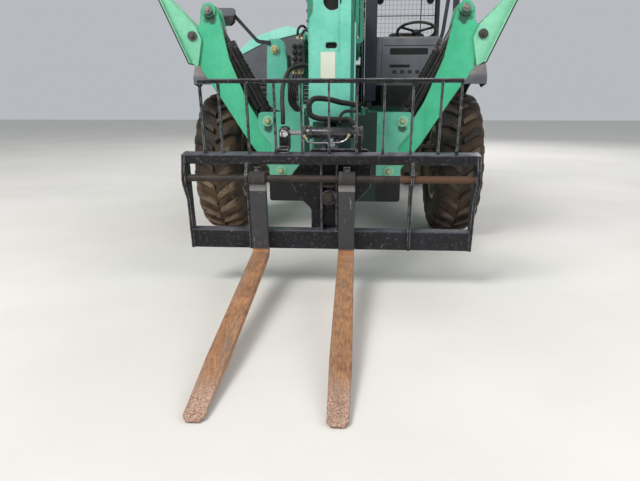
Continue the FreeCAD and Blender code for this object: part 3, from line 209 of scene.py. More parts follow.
def painted(name, colors, chipped=RUST, wear=0.55, rust=0.35, dust=0.35, low=0.0, gloss=0.38,
        edge=0.006, top_dust_and_sheen=DUST, speckle=0.12):
    """Machine paint with faded patches, streaks, chipped edges, rust spots and settled dust. The
    up-facing faces take a dust colour that on some looks also stands as a painted sky reflection.
    """
    f = Finish(name)
    base, tint = colors
    color = f.mix(f.ramp(f.noise(1.7, 5.0), 0.38, 0.64), base, tint)
    streaks = f.ramp(f.noise(1.0, 5.0, 0.65, (14.0, 14.0, 0.9)), 0.52, 0.78, 0.0, 0.35)
    color = f.mix(streaks, color, shade(base, 0.45))
    color = f.mix(f.ramp(f.noise(38.0, 3.0), 0.3, 0.75, 0.0, 0.16), color, shade(base, 0.6))
    color = f.mix(f.ramp(f.noise(48.0, 7.0, 0.85), 0.55, 0.68, 0.0, speckle), color, chipped)
    rounded, edges = f.edges(edge)
    broken = f.ramp(f.noise(26.0, 6.0, 0.7), 0.6 - 0.24 * wear, 0.7 - 0.1 * wear)
    worn = f.times(edges, broken)
    chips = f.ramp(f.noise(9.0, 9.0, 0.78), 0.735 - 0.09 * rust, 0.765 - 0.09 * rust)
    bare = f.most(worn, chips)
    color = f.mix(bare, color, chipped)
    up = f.ramp(f.axis(f.normal, 2), 0.25, 0.95, 0.0, dust)
    height = f.ramp(f.axis(f.place, 2), 1.3, 0.2, 0.0, low)
    settled = f.times(f.most(up, height), f.ramp(f.noise(5.0, 7.0, 0.7), 0.25, 0.72))
    # Up-facing and low faces take the top colour: settled dust, on some looks also a painted sky
    # reflection.
    color = f.mix(settled, color, top_dust_and_sheen)
    rough = f.most(f.ramp(f.noise(11.0, 5.0), 0.3, 0.7, gloss, gloss + 0.22),
        f.times(f.most(bare, settled), 0.88))
    bump = f.math("SUBTRACT", f.times(f.noise(170.0, 3.0), 0.35), f.times(bare, 0.9))
    return f.done(color, rough, 0.0, bump, rounded)


def steel(name, base, tint, metal=0.85, rough=(0.28, 0.5), rust=0.3):
    """Metal with stains and rust spots."""
    f = Finish(name)
    color = f.mix(f.ramp(f.noise(6.0, 6.0, 0.7), 0.35, 0.68), base, tint)
    spots = f.ramp(f.noise(13.0, 9.0, 0.75), 0.72 - 0.22 * rust, 0.8 - 0.18 * rust)
    color = f.mix(spots, color, RUST)
    rounded, edges = f.edges(0.003)
    color = f.mix(f.times(edges, 0.5), color, BARE)
    fine = f.noise(150.0, 4.0)
    roughness = f.most(f.ramp(fine, 0.3, 0.7, *rough), f.times(spots, 0.85))
    metallic = f.ramp(spots, 0.0, 1.0, metal, 0.05)
    return f.done(color, roughness, metallic, fine, rounded, 0.0003, 0.35)


def plastic(name, base, tint, rough=(0.5, 0.7), dust=0.3, grain=420.0, edge=0.004):
    """Moulded plastic with a fine grain, scuffs and dust on what faces up."""
    f = Finish(name)
    color = f.mix(f.ramp(f.noise(3.0, 5.0), 0.35, 0.68), base, tint)
    scuffs = f.ramp(f.noise(1.0, 7.0, 0.7, (40.0, 6.0, 26.0)), 0.64, 0.72, 0.0, 0.5)
    color = f.mix(scuffs, color, shade(base, 1.8, 0.02))
    up = f.ramp(f.axis(f.normal, 2), 0.2, 0.95, 0.0, dust)
    settled = f.times(up, f.ramp(f.noise(7.0, 7.0, 0.7), 0.25, 0.7))
    color = f.mix(settled, color, DUST)
    rounded, _ = f.edges(edge)
    roughness = f.most(f.ramp(f.noise(18.0, 4.0), 0.3, 0.7, *rough), f.times(settled, 0.9))
    return f.done(color, roughness, 0.0, f.noise(grain, 2.0), rounded, 0.0003, 0.35)


def make_tyre_rubber(name, lower_mud_and_light):
    """Rubber with brown dirt between the lugs and dried mud on their tops; its origin is the hub.

    The last argument is how much light brown the tyre's lower part carries: dried mud, and where it
    is high also painted sunlight."""
    f = Finish(name)
    radius = f.vector("LENGTH", f.vector("MULTIPLY", f.place, (0.0, 1.0, 1.0))[0])["Value"]
    color = f.mix(f.ramp(f.noise(9.0, 6.0), 0.35, 0.7), rgb(15, 15, 16), rgb(30, 29, 28))
    low = f.ramp(radius, 0.632, 0.606, 0.16, 0.55)
    dirt = f.times(low, f.ramp(f.noise(5.0, 8.0, 0.72), 0.36, 0.66))
    color = f.mix(dirt, color, rgb(96, 76, 56))
    tops = f.times(f.ramp(radius, 0.624, 0.632), f.ramp(f.noise(3.2, 7.0, 0.7), 0.44, 0.62, 0.0,
        0.35))
    # The lower part turns light brown: dried mud, and painted sunlight where the amount is high.
    below = f.times(f.ramp(f.axis(f.place, 2), 0.06, -0.16, 0.0, lower_mud_and_light),
        f.ramp(f.noise(14.0, 6.0, 0.7), 0.3, 0.56))
    below = f.times(below, f.ramp(radius, 0.6, 0.632, 0.35, 1.0))
    color = f.mix(f.most(tops, below), color, rgb(138, 116, 94))
    bump = f.math("ADD", f.noise(90.0, 5.0), f.times(dirt, 0.6))
    return f.done(color, f.ramp(dirt, 0.0, 1.0, 0.62, 0.95), 0.0, bump, None, 0.0012, 0.5)


def make_fork_steel():
    """Forged steel, brown along its grain, rubbed on the blade and muddy at the tips."""
    f = Finish("fork_steel")
    rust = f.mix(f.ramp(f.noise(7.0, 7.0, 0.7), 0.3, 0.7), rgb(122, 82, 56), rgb(176, 126, 84))
    rust = f.mix(f.ramp(f.noise(60.0, 5.0), 0.45, 0.8, 0.0, 0.4), rust, rgb(92, 58, 40))
    y = f.axis(f.place, 1)
    z = f.axis(f.place, 2)
    worn_line = f.ramp(f.noise(1.0, 6.0, 0.7, (30.0, 1.6, 9.0)), 0.5, 0.6)
    top = f.times(f.ramp(f.axis(f.normal, 2), 0.7, 0.95), worn_line)
    rounded, edges = f.edges(0.01)
    shine = f.most(f.times(top, 0.5), f.times(edges, 0.5))
    color = f.mix(shine, rust, rgb(158, 150, 140))
    # The shank above the heel carries dark paint, with a grey band and a dark head at its top.
    shank = f.mix(f.ramp(f.noise(12.0, 7.0, 0.7), 0.56, 0.7), rgb(56, 57, 60), rgb(92, 84, 76))
    scratches = f.ramp(f.noise(1.0, 6.0, 0.7, (34.0, 8.0, 3.0)), 0.6, 0.66, 0.0, 0.7)
    shank = f.mix(scratches, shank, rgb(158, 156, 152))
    color = f.mix(f.ramp(z, 0.262, 0.282), color, shank)
    color = f.mix(f.ramp(z, 0.699, 0.703, 0.0, 0.85), color, rgb(46, 43, 41))
    band = f.times(f.ramp(z, 0.655, 0.66), f.ramp(z, 0.7, 0.696))
    color = f.mix(f.times(band, 0.75), color, rgb(138, 138, 138))
    grain = f.ramp(f.noise(1.0, 7.0, 0.8, (120.0, 14.0, 60.0)), 0.4, 0.6)
    color = f.mix(f.ramp(z, 0.24, 0.22, 0.0, 0.38), color,
        f.mix(grain, rgb(96, 68, 50), rgb(196, 146, 106)))
    specks = f.ramp(f.noise(150.0, 4.0, 0.75), 0.4, 0.6)
    mud = f.times(f.ramp(y, -3.66, -3.9), f.ramp(f.noise(16.0, 8.0, 0.7), 0.3, 0.5, 0.45, 0.95))
    color = f.mix(mud, color, f.mix(specks, rgb(128, 94, 78), rgb(204, 172, 152)))
    return f.done(color, f.ramp(shine, 0.0, 1.0, 0.82, 0.38), f.times(shine, 0.7),
        f.noise(70.0, 7.0, 0.7), rounded, 0.0014, 0.5)


def make_glass(name, color, rough, metal, transmit):
    f = Finish(name)
    haze = f.ramp(f.noise(9.0, 6.0), 0.5, 0.8, 0.0, 0.18)
    f.shader.inputs["Transmission Weight"].default_value = transmit
    f.shader.inputs["IOR"].default_value = 1.5
    return f.done(f.mix(haze, color, DUST), f.ramp(haze, 0.0, 0.2, rough, 0.35), metal)


TEAL = rgb(84, 178, 156), rgb(116, 200, 178)
DARK_TEAL = rgb(70, 164, 138), rgb(98, 190, 162)
LEG_GREEN = rgb(50, 168, 124), rgb(74, 186, 144)
FOOT_GREEN = rgb(112, 190, 154), rgb(136, 206, 172)
BROWN_BLACK = rgb(60, 50, 44), rgb(38, 34, 32)
COWL_GREY = rgb(82, 84, 90), rgb(98, 100, 106)
AGED = {"wear": 0.7, "rust": 0.5, "dust": 0.4, "low": 0.3}
BATTERED = {"wear": 0.85, "rust": 0.6, "dust": 0.3}
RUBBED = {"chipped": BARE, "wear": 0.5}

teal = painted("teal_paint", TEAL, wear=0.85, rust=0.55, low=0.25)
teal_dark = painted("teal_paint_boom", DARK_TEAL, **AGED)
leg_green = painted("leg_paint", LEG_GREEN, wear=0.9, rust=0.55, dust=0.25)
foot_green = painted("foot_paint", FOOT_GREEN, **BATTERED)
# The boom sections wear a darker copy of the teal paint: painted shade.
shaded_boom_green = painted("boom_paint_shaded", (rgb(56, 146, 120), rgb(78, 168, 142)), **AGED)
mint = painted("hood_paint", (rgb(142, 222, 202), rgb(164, 234, 216)), wear=0.35, rust=0.15,
    dust=0.25, gloss=0.3)
# Black paint: its up-facing tops are lightened grey-violet as dust and as a painted sky reflection,
# and its light grey edge chips are worn edges and painted highlight lines as well.
black_paint = painted("black_paint", (rgb(9, 10, 13), rgb(19, 21, 25)), rgb(150, 148, 152), 1.0,
    0.75, 0.62, 0.05, 0.34, 0.01, rgb(120, 114, 128), 0.55)
chassis_black = painted("chassis_black", (rgb(34, 34, 36), rgb(48, 47, 46)), wear=0.6, rust=0.5,
    dust=0.6, low=0.6)
cab_dark = painted("cab_paint", (rgb(24, 27, 42), rgb(34, 38, 52)), rust=0.2, dust=0.3, **RUBBED)
ram_black = painted("ram_paint", (rgb(30, 30, 33), rgb(46, 45, 46)), rust=0.4, **RUBBED)
rim_paint = painted("rim_paint", (rgb(170, 168, 158), rgb(148, 146, 138)), wear=0.5, rust=0.6,
    dust=0.5, low=0.7)
dull_rod = steel("dull_rod", rgb(88, 86, 84), rgb(58, 56, 55), 0.6, (0.4, 0.6), 0.25)
chrome = steel("ram_chrome", rgb(205, 205, 208), rgb(180, 180, 184), 1.0, (0.12, 0.24), 0.02)
bare_steel = steel("bare_steel", rgb(150, 146, 140), rgb(112, 106, 98), 0.8, (0.35, 0.6), 0.35)
rusty_steel = steel("rusty_steel", rgb(134, 96, 66), rgb(96, 66, 46), 0.3, (0.6, 0.85), 0.75)
dark_rust = steel("dark_rust", *BROWN_BLACK, 0.3, (0.5, 0.8), 0.35)
shaft_look = steel("shaft_steel", *BROWN_BLACK, 0.3, (0.5, 0.8), 0.35)
ram_grey = steel("ram_grey", rgb(104, 104, 106), rgb(62, 62, 64), 0.75, (0.22, 0.4), 0.12)
zinc = steel("zinc_yellow", rgb(198, 190, 146), rgb(170, 160, 120), 0.5, (0.4, 0.6), 0.02)
cast_iron = steel("engine_iron", rgb(70, 68, 66), rgb(50, 49, 48), 0.4, (0.55, 0.8), 0.3)
alloy = steel("valve_alloy", rgb(120, 120, 122), rgb(84, 84, 86), 0.7, (0.4, 0.6), 0.1)
cowl = plastic("cowl_plastic", *COWL_GREY, dust=0.45)
fender_plastic = plastic("fender_plastic", rgb(88, 88, 98), rgb(104, 104, 110), dust=0.6)
black_plastic = plastic("black_plastic", rgb(26, 26, 27), rgb(36, 36, 37), dust=0.25)
hose_rubber = plastic("hose_rubber", rgb(12, 12, 13), rgb(26, 25, 25), (0.45, 0.65), 0.15, 900.0)
seat_vinyl = plastic("seat_vinyl", rgb(30, 30, 32), rgb(42, 41, 42), (0.38, 0.55), 0.2, 260.0)
tank_black = plastic("tank_black", rgb(36, 36, 38), rgb(50, 49, 48), (0.4, 0.6), 0.5, 300.0)
blank_plate = plastic("blank_plate", rgb(216, 220, 204), rgb(200, 204, 188), (0.35, 0.5), 0.1,
    500.0, 0.001)
# A flat near-black for the inside of holes and slots: painted shade.
painted_shade_black = plastic("painted_shade_black", rgb(14, 14, 15), rgb(20, 20, 20), dust=0.05)
tyre_rubber = make_tyre_rubber("tyre_rubber", 0.12)
# The front right tyre's light brown lower part is dried mud and painted sunlight.
mud_and_lit_rubber = make_tyre_rubber("tyre_rubber_mud_and_lit", 0.85)
fork_steel = make_fork_steel()
lamp_clear = make_glass("lamp_clear", rgb(226, 230, 232), 0.06, 0.2, 0.4)
lamp_amber = make_glass("lamp_amber", rgb(226, 120, 24), 0.1, 0.0, 0.3)
lamp_red = make_glass("lamp_red", rgb(170, 22, 18), 0.1, 0.0, 0.3)
lamp_dark = make_glass("lamp_dark", rgb(34, 36, 40), 0.08, 0.0, 0.2)

for look in (black_paint, chassis_black, hose_rubber, painted_shade_black, tyre_rubber, mud_and_lit_rubber):
    FINISHES[look.name].shader.inputs["Specular IOR Level"].default_value = 0.3


def dress(look, *nodes):
    for node in nodes:
        NODES[node].data.materials.clear()
        NODES[node].data.materials.append(look)


for look, nodes in ((teal, "counterweight level_tower"), (shaded_boom_green, "boom_base boom_mid"),
        (mint, "engine_hood"), (chassis_black, "tow_hitch front_axle rear_axle"),
        (ram_black, "lift_barrel tilt_barrel level_ram stab_left_barrel stab_right_barrel"),
        (chrome, "lift_rod tilt_rod side_tilt_rod"), (dull_rod, "stab_left_rod stab_right_rod"),
        (black_paint, "coupler carriage_frame backrest"), (fork_steel, "fork_left fork_right"),
        (cast_iron, "engine_block"), (alloy, "valve_block"), (cab_dark, "cab_frame"),
        (seat_vinyl, "cab_seat"), (black_plastic, "steering_wheel"), (tank_black, "tank_box"),
        (fender_plastic, "fenders_front fenders_rear")):
    dress(look, *nodes.split())
for end, _ in AXLES:
    for side_name, _ in SIDES:
        for look, kind in ((chassis_black, "knuckle"), (rim_paint, "rim"), (tyre_rubber, "tyre")):
            dress(look, "_".join((kind, end, side_name)))


def overpaint(look, color, *sides):
    """Paints over what lies past every side, each a (direction, depth along it)."""
    f = FINISHES[look.name]
    factor = 1.0
    for direction, depth in sides:
        along = f.vector("DOT_PRODUCT", f.place, direction)["Value"]
        factor = f.times(factor, f.ramp(along, depth - 0.0004, depth + 0.0004, kind="LINEAR"))
    f.cover(factor, color)


def blot(look, color, centre, radius):
    """A ragged stain round a place, such as old grease that has run from a pin."""
    f = FINISHES[look.name]
    away = f.vector("DISTANCE", f.place, centre)["Value"]
    reach = f.math("ADD", f.times(f.noise(22.0, 6.0, 0.5), radius), away)
    f.cover(f.ramp(reach, radius * 1.45, radius * 1.15, 0.0, 0.85, "LINEAR"), color)


for side_name, side in SIDES:
    turn = math.radians(-66 * side)
    down = Vector((-math.sin(turn), 0.0, -math.cos(turn)))
    sole = down.dot(Vector((KNEE_X * side, STAB_Y, KNEE_Z))) + 0.1
    foot_look = painted("foot_paint_" + side_name, FOOT_GREEN, **BATTERED)
    overpaint(foot_look, rgb(44, 42, 40), (down, sole))
    dress(foot_look, "stab_foot_" + side_name)
    leg_look = painted("leg_paint_" + side_name, LEG_GREEN, wear=0.95, rust=0.75, dust=0.25,
        edge=0.012)
    blot(leg_look, rgb(26, 40, 34), (0.925 * side, STAB_Y - 0.088, 1.79), 0.062)
    dress(leg_look, "stab_leg_" + side_name)

frame_look = painted("frame_paint", DARK_TEAL, **AGED)
# The frame's front below z 0.645 is painted nearly black: dark paint deepened into painted shade
# under the machine.
overpaint(frame_look, rgb(8, 9, 11), (DOWN, -0.6445), (FORWARD, 1.56))
# The frame's front face between x -0.232 and 0.318 is painted dark green as painted shade.
overpaint(frame_look, rgb(20, 46, 42), (FORWARD, 1.56), (X, -0.232), (RIGHT, -0.318))
for _, side in SIDES:
    blot(frame_look, rgb(22, 36, 32), (0.508 * side, STAB_Y - 0.1, 1.0), 0.04)
dress(frame_look, "chassis_frame")
pod_look = painted("pod_paint", DARK_TEAL, **AGED)
overpaint(pod_look, rgb(46, 46, 50), (FORWARD, -0.3195), (RIGHT, 0.47))
dress(pod_look, "engine_pod")
slab_look = plastic("lamp_plate_plastic", rgb(24, 24, 26), rgb(36, 36, 38))
overpaint(slab_look, rgb(92, 92, 100), (Z, 1.9245), (RIGHT, 0.91))
dress(slab_look, "mirror")
head_look = painted("head_paint", TEAL, wear=0.95, rust=0.7, low=0.25, edge=0.012)
# The head plate's strip past x 0.119 is painted dark green: painted shade on its shaded side.
overpaint(head_look, rgb(34, 88, 76), (X, 0.119), (FORWARD, 1.9))
dress(head_look, "boom_fly")
console_look = plastic("console_plastic", *COWL_GREY, dust=0.45)
# The console below z 1.378 is painted nearly black: painted shadow.
overpaint(console_look, rgb(12, 12, 13), (DOWN, -1.378))
dress(console_look, "cab_console")
overpaint(shaft_look, rgb(88, 62, 46), (X, 0.43))


# ---- shapes ----

def add_mesh(name, mesh, look, body="chassis", at=WORLD, smooth=30.0, stands_for=(),
        soft=0.0):
    """Makes an object of a bmesh in the axes of at; it rides on a body where one is named.

    Smooth is the angle of what counts as an edge, soft the width of its bevel."""
    data = bpy.data.meshes.new(name)
    bmesh.ops.recalc_face_normals(mesh, faces=mesh.faces)
    mesh.to_mesh(data)
    mesh.free()
    item = bpy.data.objects.new(name, data)
    bpy.context.scene.collection.objects.link(item)
    item.matrix_world = at
    data.materials.append(look)
    data.shade_smooth()
    data.set_sharp_from_angle(angle=math.radians(smooth))
    if body:
        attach(item, body)
    if stands_for:
        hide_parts(*stands_for)
    if soft:
        bevel = item.modifiers.new("edges", "BEVEL")
        bevel.width = soft
        bevel.segments = 2
        bevel.limit_method = "ANGLE"
        bevel.angle_limit = math.radians(30.0)
        bevel.harden_normals = False
    return item


def into(mesh, verts, faces):
    made = [mesh.verts.new(v) for v in verts]
    for face in faces:
        mesh.faces.new([made[i] for i in face])


def skin(mesh, pairs):
    """Faces between the rings of each pair."""
    for first, second in pairs:
        for k in range(len(first)):
            j = (k + 1) % len(first)
            mesh.faces.new((first[k], first[j], second[j], second[k]))


def put_box(mesh, low, high):
    (x0, y0, z0), (x1, y1, z1) = low, high
    verts = [(x, y, z) for z in (z0, z1) for x, y in ((x0, y0), (x1, y0), (x1, y1), (x0, y1))]
    into(mesh, verts, [(3, 2, 1, 0), (4, 5, 6, 7), (0, 1, 5, 4), (1, 2, 6, 5), (2, 3, 7, 6),
        (3, 0, 4, 7)])


def boxes(name, look, corners, body="chassis", at=WORLD, soft=0.0):
    mesh = bmesh.new()
    for low, high in corners:
        put_box(mesh, low, high)
    add_mesh(name, mesh, look, body, at, soft=soft)


def put_prism(mesh, outline, axis, low, high):
    """Extrudes an outline along axis 0, 1 or 2; its points are on the other two axes in order."""
    count = len(outline)
    verts = [(*point[:axis], depth, *point[axis:]) for depth in (low, high) for point in outline]
    faces = [tuple(range(count)), tuple(reversed(range(count, 2 * count)))]
    faces += [(i, (i + 1) % count, count + (i + 1) % count, count + i) for i in range(count)]
    into(mesh, verts, faces)


def turn_to(axis):
    """Rotation that carries +Z onto an axis."""
    return Vector(Z).rotation_difference(Vector(axis)).to_matrix().to_4x4()


def put_lathe(mesh, profile, centre, axis, steps=32):
    """Turns (radius, height) pairs round an axis; a zero radius closes the end."""
    place = Matrix.Translation(centre) @ turn_to(axis)
    rings = []
    for radius, height in profile:
        turns = [2 * math.pi * i / steps for i in range(steps if radius > 1e-6 else 1)]
        rings.append([mesh.verts.new(place @ Vector((radius * math.cos(a), radius * math.sin(a),
            height))) for a in turns])
    for below, above in zip(rings, rings[1:]):
        for i in range(steps):
            j = (i + 1) % steps
            ring = [below[i % len(below)], below[j % len(below)], above[j % len(above)],
                above[i % len(above)]]
            unique = list(dict.fromkeys(ring))
            if len(unique) > 2:
                mesh.faces.new(unique)


def put_disc(mesh, radius, height, centre, axis, steps=32, top=None):
    """A closed round plate; top is its (radius, height) above a slanted edge."""
    profile = [(0, 0), (radius, 0), (radius, height)] + ([top] if top else [])
    put_lathe(mesh, profile + [(0, profile[-1][1])], centre, axis, steps)


def put_bolt(mesh, centre, axis, size):
    """Hexagon head on a washer, size is half its width over flats."""
    base = size * 0.22
    height = size * 1.15
    put_disc(mesh, size * 1.7, base, centre, axis, 16)
    put_lathe(mesh, [(0, base), (size * 1.15, base), (size * 1.15, base + height * 0.8),
        (size * 0.95, base + height), (0, base + height)], centre, axis, 6)


def bolts(name, body, spots, look, at=WORLD):
    """Bolt heads given as (centre, axis, size), in one piece."""
    mesh = bmesh.new()
    for centre, axis, size in spots:
        put_bolt(mesh, centre, axis, size)
    add_mesh(name, mesh, look, body, at)


def on_circle(radius, count, offset=0.0):
    """(cosine, sine) times the radius, evenly round a circle."""
    turns = [2 * math.pi * (i + offset) / count for i in range(count)]
    return [(radius * math.cos(a), radius * math.sin(a)) for a in turns]


def ring_round(mesh, point, along, side, radius, steps):
    other = along.cross(side)
    return [mesh.verts.new(point + side * radius * math.cos(a) + other * radius * math.sin(a))
        for a in (2 * math.pi * k / steps for k in range(steps))]


def put_tube(mesh, points, radius, steps=10, closed=False):
    """A tube along a smooth line through the points, with its ends capped."""
    line = smooth_line([Vector(p) for p in points], closed)
    count = len(line)
    rings = []
    side = None
    for i, point in enumerate(line):
        before = line[i - 1] if closed or i else line[0]
        after = line[(i + 1) % count] if closed or i < count - 1 else line[-1]
        along = (after - before).normalized()
        if side is None:
            side = along.orthogonal().normalized()
        side = (side - along * side.dot(along)).normalized()
        rings.append(ring_round(mesh, point, along, side, radius, steps))
    skin(mesh, list(zip(rings, rings[1:])) + ([(rings[-1], rings[0])] if closed else []))
    if not closed:
        mesh.faces.new(rings[0])
        mesh.faces.new(list(reversed(rings[-1])))


def smooth_line(points, closed):
    """Catmull-Rom line through the points, eight steps a span."""
    if len(points) < 3 and not closed:
        return points
    line = []
    count = len(points)
    for i in range(count if closed else count - 1):
        p1, p2 = points[i], points[(i + 1) % count]
        p0 = points[i - 1] if closed or i else p1 - (p2 - p1)
        p3 = points[(i + 2) % count] if closed or i < count - 2 else p2 + (p2 - p1)
        for k in range(8):
            t = k / 8
            line.append(0.5 * (2 * p1 + (p2 - p0) * t + (2 * p0 - 5 * p1 + 4 * p2 - p3) * t * t
                + (3 * p1 - p0 - 3 * p2 + p3) * t ** 3))
    if not closed:
        line.append(points[-1])
    return line


def hoses(name, body, routes, at=WORLD, look=hose_rubber):
    """Fixed hoses: each route is (radius, points), with crimped fittings at both ends."""
    mesh = bmesh.new()
    crimps = bmesh.new()
    for radius, points in routes:
        put_tube(mesh, points, radius)
        crimp = [(0, -0.004), (radius * 1.75, -0.004), (radius * 1.75, radius * 1.6),
            (radius * 1.3, radius * 1.8), (radius * 1.3, radius * 4.4),
            (radius * 1.0, radius * 4.6)]
        for end, inner in ((points[0], points[1]), (points[-1], points[-2])):
            put_lathe(crimps, crimp, end, (Vector(inner) - Vector(end)).normalized(), 12)
    add_mesh(name, mesh, look, body, at, 60.0)
    add_mesh(name + "_fittings", crimps, zinc, body, at)


def welds(name, body, lines, look, at=WORLD):
    """Weld beads: each a row of overlapping ripples between two points."""
    size = 0.006
    mesh = bmesh.new()
    for start, end in lines:
        start, end = Vector(start), Vector(end)
        length = (end - start).length
        count = max(3, int(length / (size * 1.6)))
        along = (end - start) / length
        side = along.orthogonal().normalized()
        rings = []
        for i in range(count + 1):
            swell = size * (0.75 + 0.25 * (i % 2) + 0.12 * chance.random())
            rings.append(ring_round(mesh, start + along * (length * i / count), along, side, swell,
                6))
        skin(mesh, zip(rings, rings[1:]))
    add_mesh(name, mesh, look, body, at, 80.0)


# ---- wheels ----

LUGS = 23
TREAD_START = 0.078
TREAD_RADIUS = 0.62
# distance from the middle, carcass radius, lug-top radius, lug's lean along the tread, half width
LUG_ROWS = ((0.01, 0.6, 0.6395, 0.0, 0.024), (0.05, 0.6, 0.6395, 0.052, 0.026),
    (0.1, 0.6, 0.6375, 0.112, 0.03), (0.145, 0.594, 0.627, 0.15, 0.034),
    (0.176, 0.575, 0.6, 0.168, 0.036), (0.1935, 0.54, 0.562, 0.174, 0.035),
    (0.198, 0.518, 0.522, 0.176, 0.03),)
# radius and half width from the bead outwards
CARCASS = ((0.319, 0.147), (0.346, 0.147), (0.352, 0.158), (0.41, 0.186), (0.425, 0.193),
    (0.432, 0.189), (0.48, 0.196), (0.522, 0.1965), (0.56, 0.186), (0.586, 0.163), (0.598, 0.13),
    (0.602, 0.06))


def put_lug(mesh, half, start):
    """One leaning lug; half is 1 or -1 for the tyre's two halves."""
    rows = []
    for x, base, top, lean, width in LUG_ROWS:
        section = ((-1.25, base - 0.004), (-0.95, top - 0.003), (-0.6, top), (0.6, top),
            (0.95, top - 0.003), (1.25, base - 0.004))
        turns = [(start - lean + offset * (width / TREAD_RADIUS), radius) for offset,
            radius in section]
        rows.append([mesh.verts.new((x * half, radius * math.cos(a), radius * math.sin(a))) for a,
            radius in turns])
    for first, second in zip(rows, rows[1:]):
        for a, b in zip(range(5), range(1, 6)):
            mesh.faces.new((first[a], first[b], second[b], second[a]))
    mesh.faces.new(rows[0])
    mesh.faces.new(list(reversed(rows[-1])))


def make_wheel(corner, axle_y, side):
    body = "wheel_" + corner
    at = Matrix.Translation((HUB_X * side, axle_y, HUB_Z))
    outwards = (side, 0, 0)
    tyre = bmesh.new()
    put_lathe(tyre, [(r, -x) for r, x in CARCASS] + [(r, x) for r, x in reversed(CARCASS)], ORIGIN,
        X, 96)
    for half in (1, -1):
        for lug in range(LUGS):
            put_lug(tyre, half, math.pi / 2 * half + TREAD_START + lug * 2 * math.pi / LUGS)
    for r in (0.452, 0.5):
        put_lathe(tyre, [(r - 0.003, 0.19), (r - 0.002, 0.1985), (r + 0.002, 0.1985),
            (r + 0.003, 0.19)], ORIGIN, outwards, 72)
    rubber = mud_and_lit_rubber if corner == "front_right" else tyre_rubber
    add_mesh("tread_" + corner, tyre, rubber, body, at, 40.0, ("tyre_" + corner,))

    nuts = bmesh.new()
    for y, z in on_circle(0.182, 12):
        put_bolt(nuts, (0.006 * side, y, z), outwards, 0.015)
    for y, z in on_circle(0.082, 8, 0.5):
        put_bolt(nuts, (0.082 * side, y, z), outwards, 0.007)
    put_lathe(nuts, [(0, 0), (0.03, 0), (0.03, 0.006), (0.014, 0.008), (0.014, 0.016), (0, 0.016)],
        (0.081 * side, 0, 0), outwards, 6)
    add_mesh("wheel_nuts_" + corner, nuts, rusty_steel, body, at)
    rings = bmesh.new()
    put_lathe(rings, [(0.3025, 0.09), (0.3025, 0.112), (0.311, 0.112), (0.311, 0.09)], ORIGIN,
        outwards, 64)
    put_lathe(rings, [(0.15, 0.0065), (0.164, 0.0065), (0.164, 0.011), (0.15, 0.014)], ORIGIN,
        outwards, 48)
    put_tube(rings, [(0.1 * side, 0.296, 0.02), (0.13 * side, 0.288, 0.02),
        (0.15 * side, 0.276, 0.02)], 0.005)
    add_mesh("rim_rings_" + corner, rings, rim_paint, body, at, 35.0)


for end, axle_y in AXLES:
    for side_name, side in SIDES:
        corner = end + "_" + side_name
        make_wheel(corner, axle_y, side)
        bolts("king_caps_" + corner, "chassis", [((0.85 * side, axle_y, HUB_Z + z * 0.1702),
            (0, 0, z), 0.02) for z in (1, -1)], bare_steel)
for end, axle_y in AXLES:
    bolts("axle_bolts_" + end, "chassis", [((0.262 * face, axle_y + y, HUB_Z + z), (face, 0, 0),
        0.009) for y, z in on_circle(0.078, 12) for face in (1, -1)], bare_steel)


# ---- fork carriage ----

SHAFT_Y, SHAFT_Z = 0.022, 0.48
DIVIDERS = (0.505, -0.505)
BARS = (0.0, 0.165, -0.165, 0.325, -0.325, 0.49, -0.49, 0.655, -0.655, 0.766, -0.766)

plates = bmesh.new()
for _, side in SIDES:
    put_disc(plates, 0.046, 0.002, (0.9015 * side, SHAFT_Y, SHAFT_Z), (side, 0, 0), 32,
        (0.04, 0.003))
put_disc(plates, 0.036, 0.008, (0, 0.054, 0.35), FORWARD, 40, (0.03, 0.01))
put_disc(plates, 0.022, 0.018, (0, 0.0445, 0.35), FORWARD, 6, (0.019, 0.022))
put_box(plates, (-0.034, 0.04, 0.42), (0.034, 0.0485, 0.436))
add_mesh("carriage_pin_plates", plates, dark_rust, "carriage", CARRIAGE, 30.0,
    soft=0.0015)

sleeve = bmesh.new()
put_lathe(sleeve, [(0.02215, -0.884), (0.02215, 0.884)], (0, SHAFT_Y, SHAFT_Z), X, 40)
add_mesh("shaft_surface", sleeve, shaft_look, "carriage", CARRIAGE, 40.0)

boxes("divider_tips", black_paint, [((x - half, y0, z0), (x + half, y1, z1)) for x in DIVIDERS
    for half, y0, y1, z0, z1 in ((0.0105, -0.0135, 0.03, 0.5, 0.5165),
    (0.0105, -0.0135, 0.01, 0.444, 0.4565), (0.0095, 0.033, 0.05, 0.004, 0.47))], "carriage",
    CARRIAGE)

seams = []
for x in DIVIDERS:
    for edge in (x - 0.0075, x + 0.0075):
        seams.append(((edge, 0.05, 0.128), (edge, 0.116, 0.128)))
        seams.append(((edge, 0.046, 0.57), (edge, 0.046, 0.61)))
for x in (0.064, 0.052, -0.052, -0.064):
    seams.append(((x, 0.052, 0.128), (x, 0.116, 0.128)))
for x in (0.885, -0.885):
    seams.append(((x, 0.0455, 0.004), (x, 0.0455, 0.124)))
    seams.append(((x, 0.0255, 0.57), (x, 0.0255, 0.622)))
welds("carriage_welds", "carriage", seams, black_paint, CARRIAGE)

feet = bmesh.new()
for x in BARS:
    put_prism(feet, [(0.058, 0.626), (0.093, 0.626), (0.093, 0.632), (0.09, 0.65), (0.061, 0.65),
        (0.058, 0.632)], 0, x - 0.0085, x + 0.0085)
add_mesh("backrest_feet", feet, black_paint, "carriage", CARRIAGE, 30.0,
    soft=0.002)
welds("backrest_welds", "carriage", [((x - 0.006, 0.076, 1.0415), (x + 0.006, 0.076, 1.0415))
    for x in BARS], black_paint, CARRIAGE)

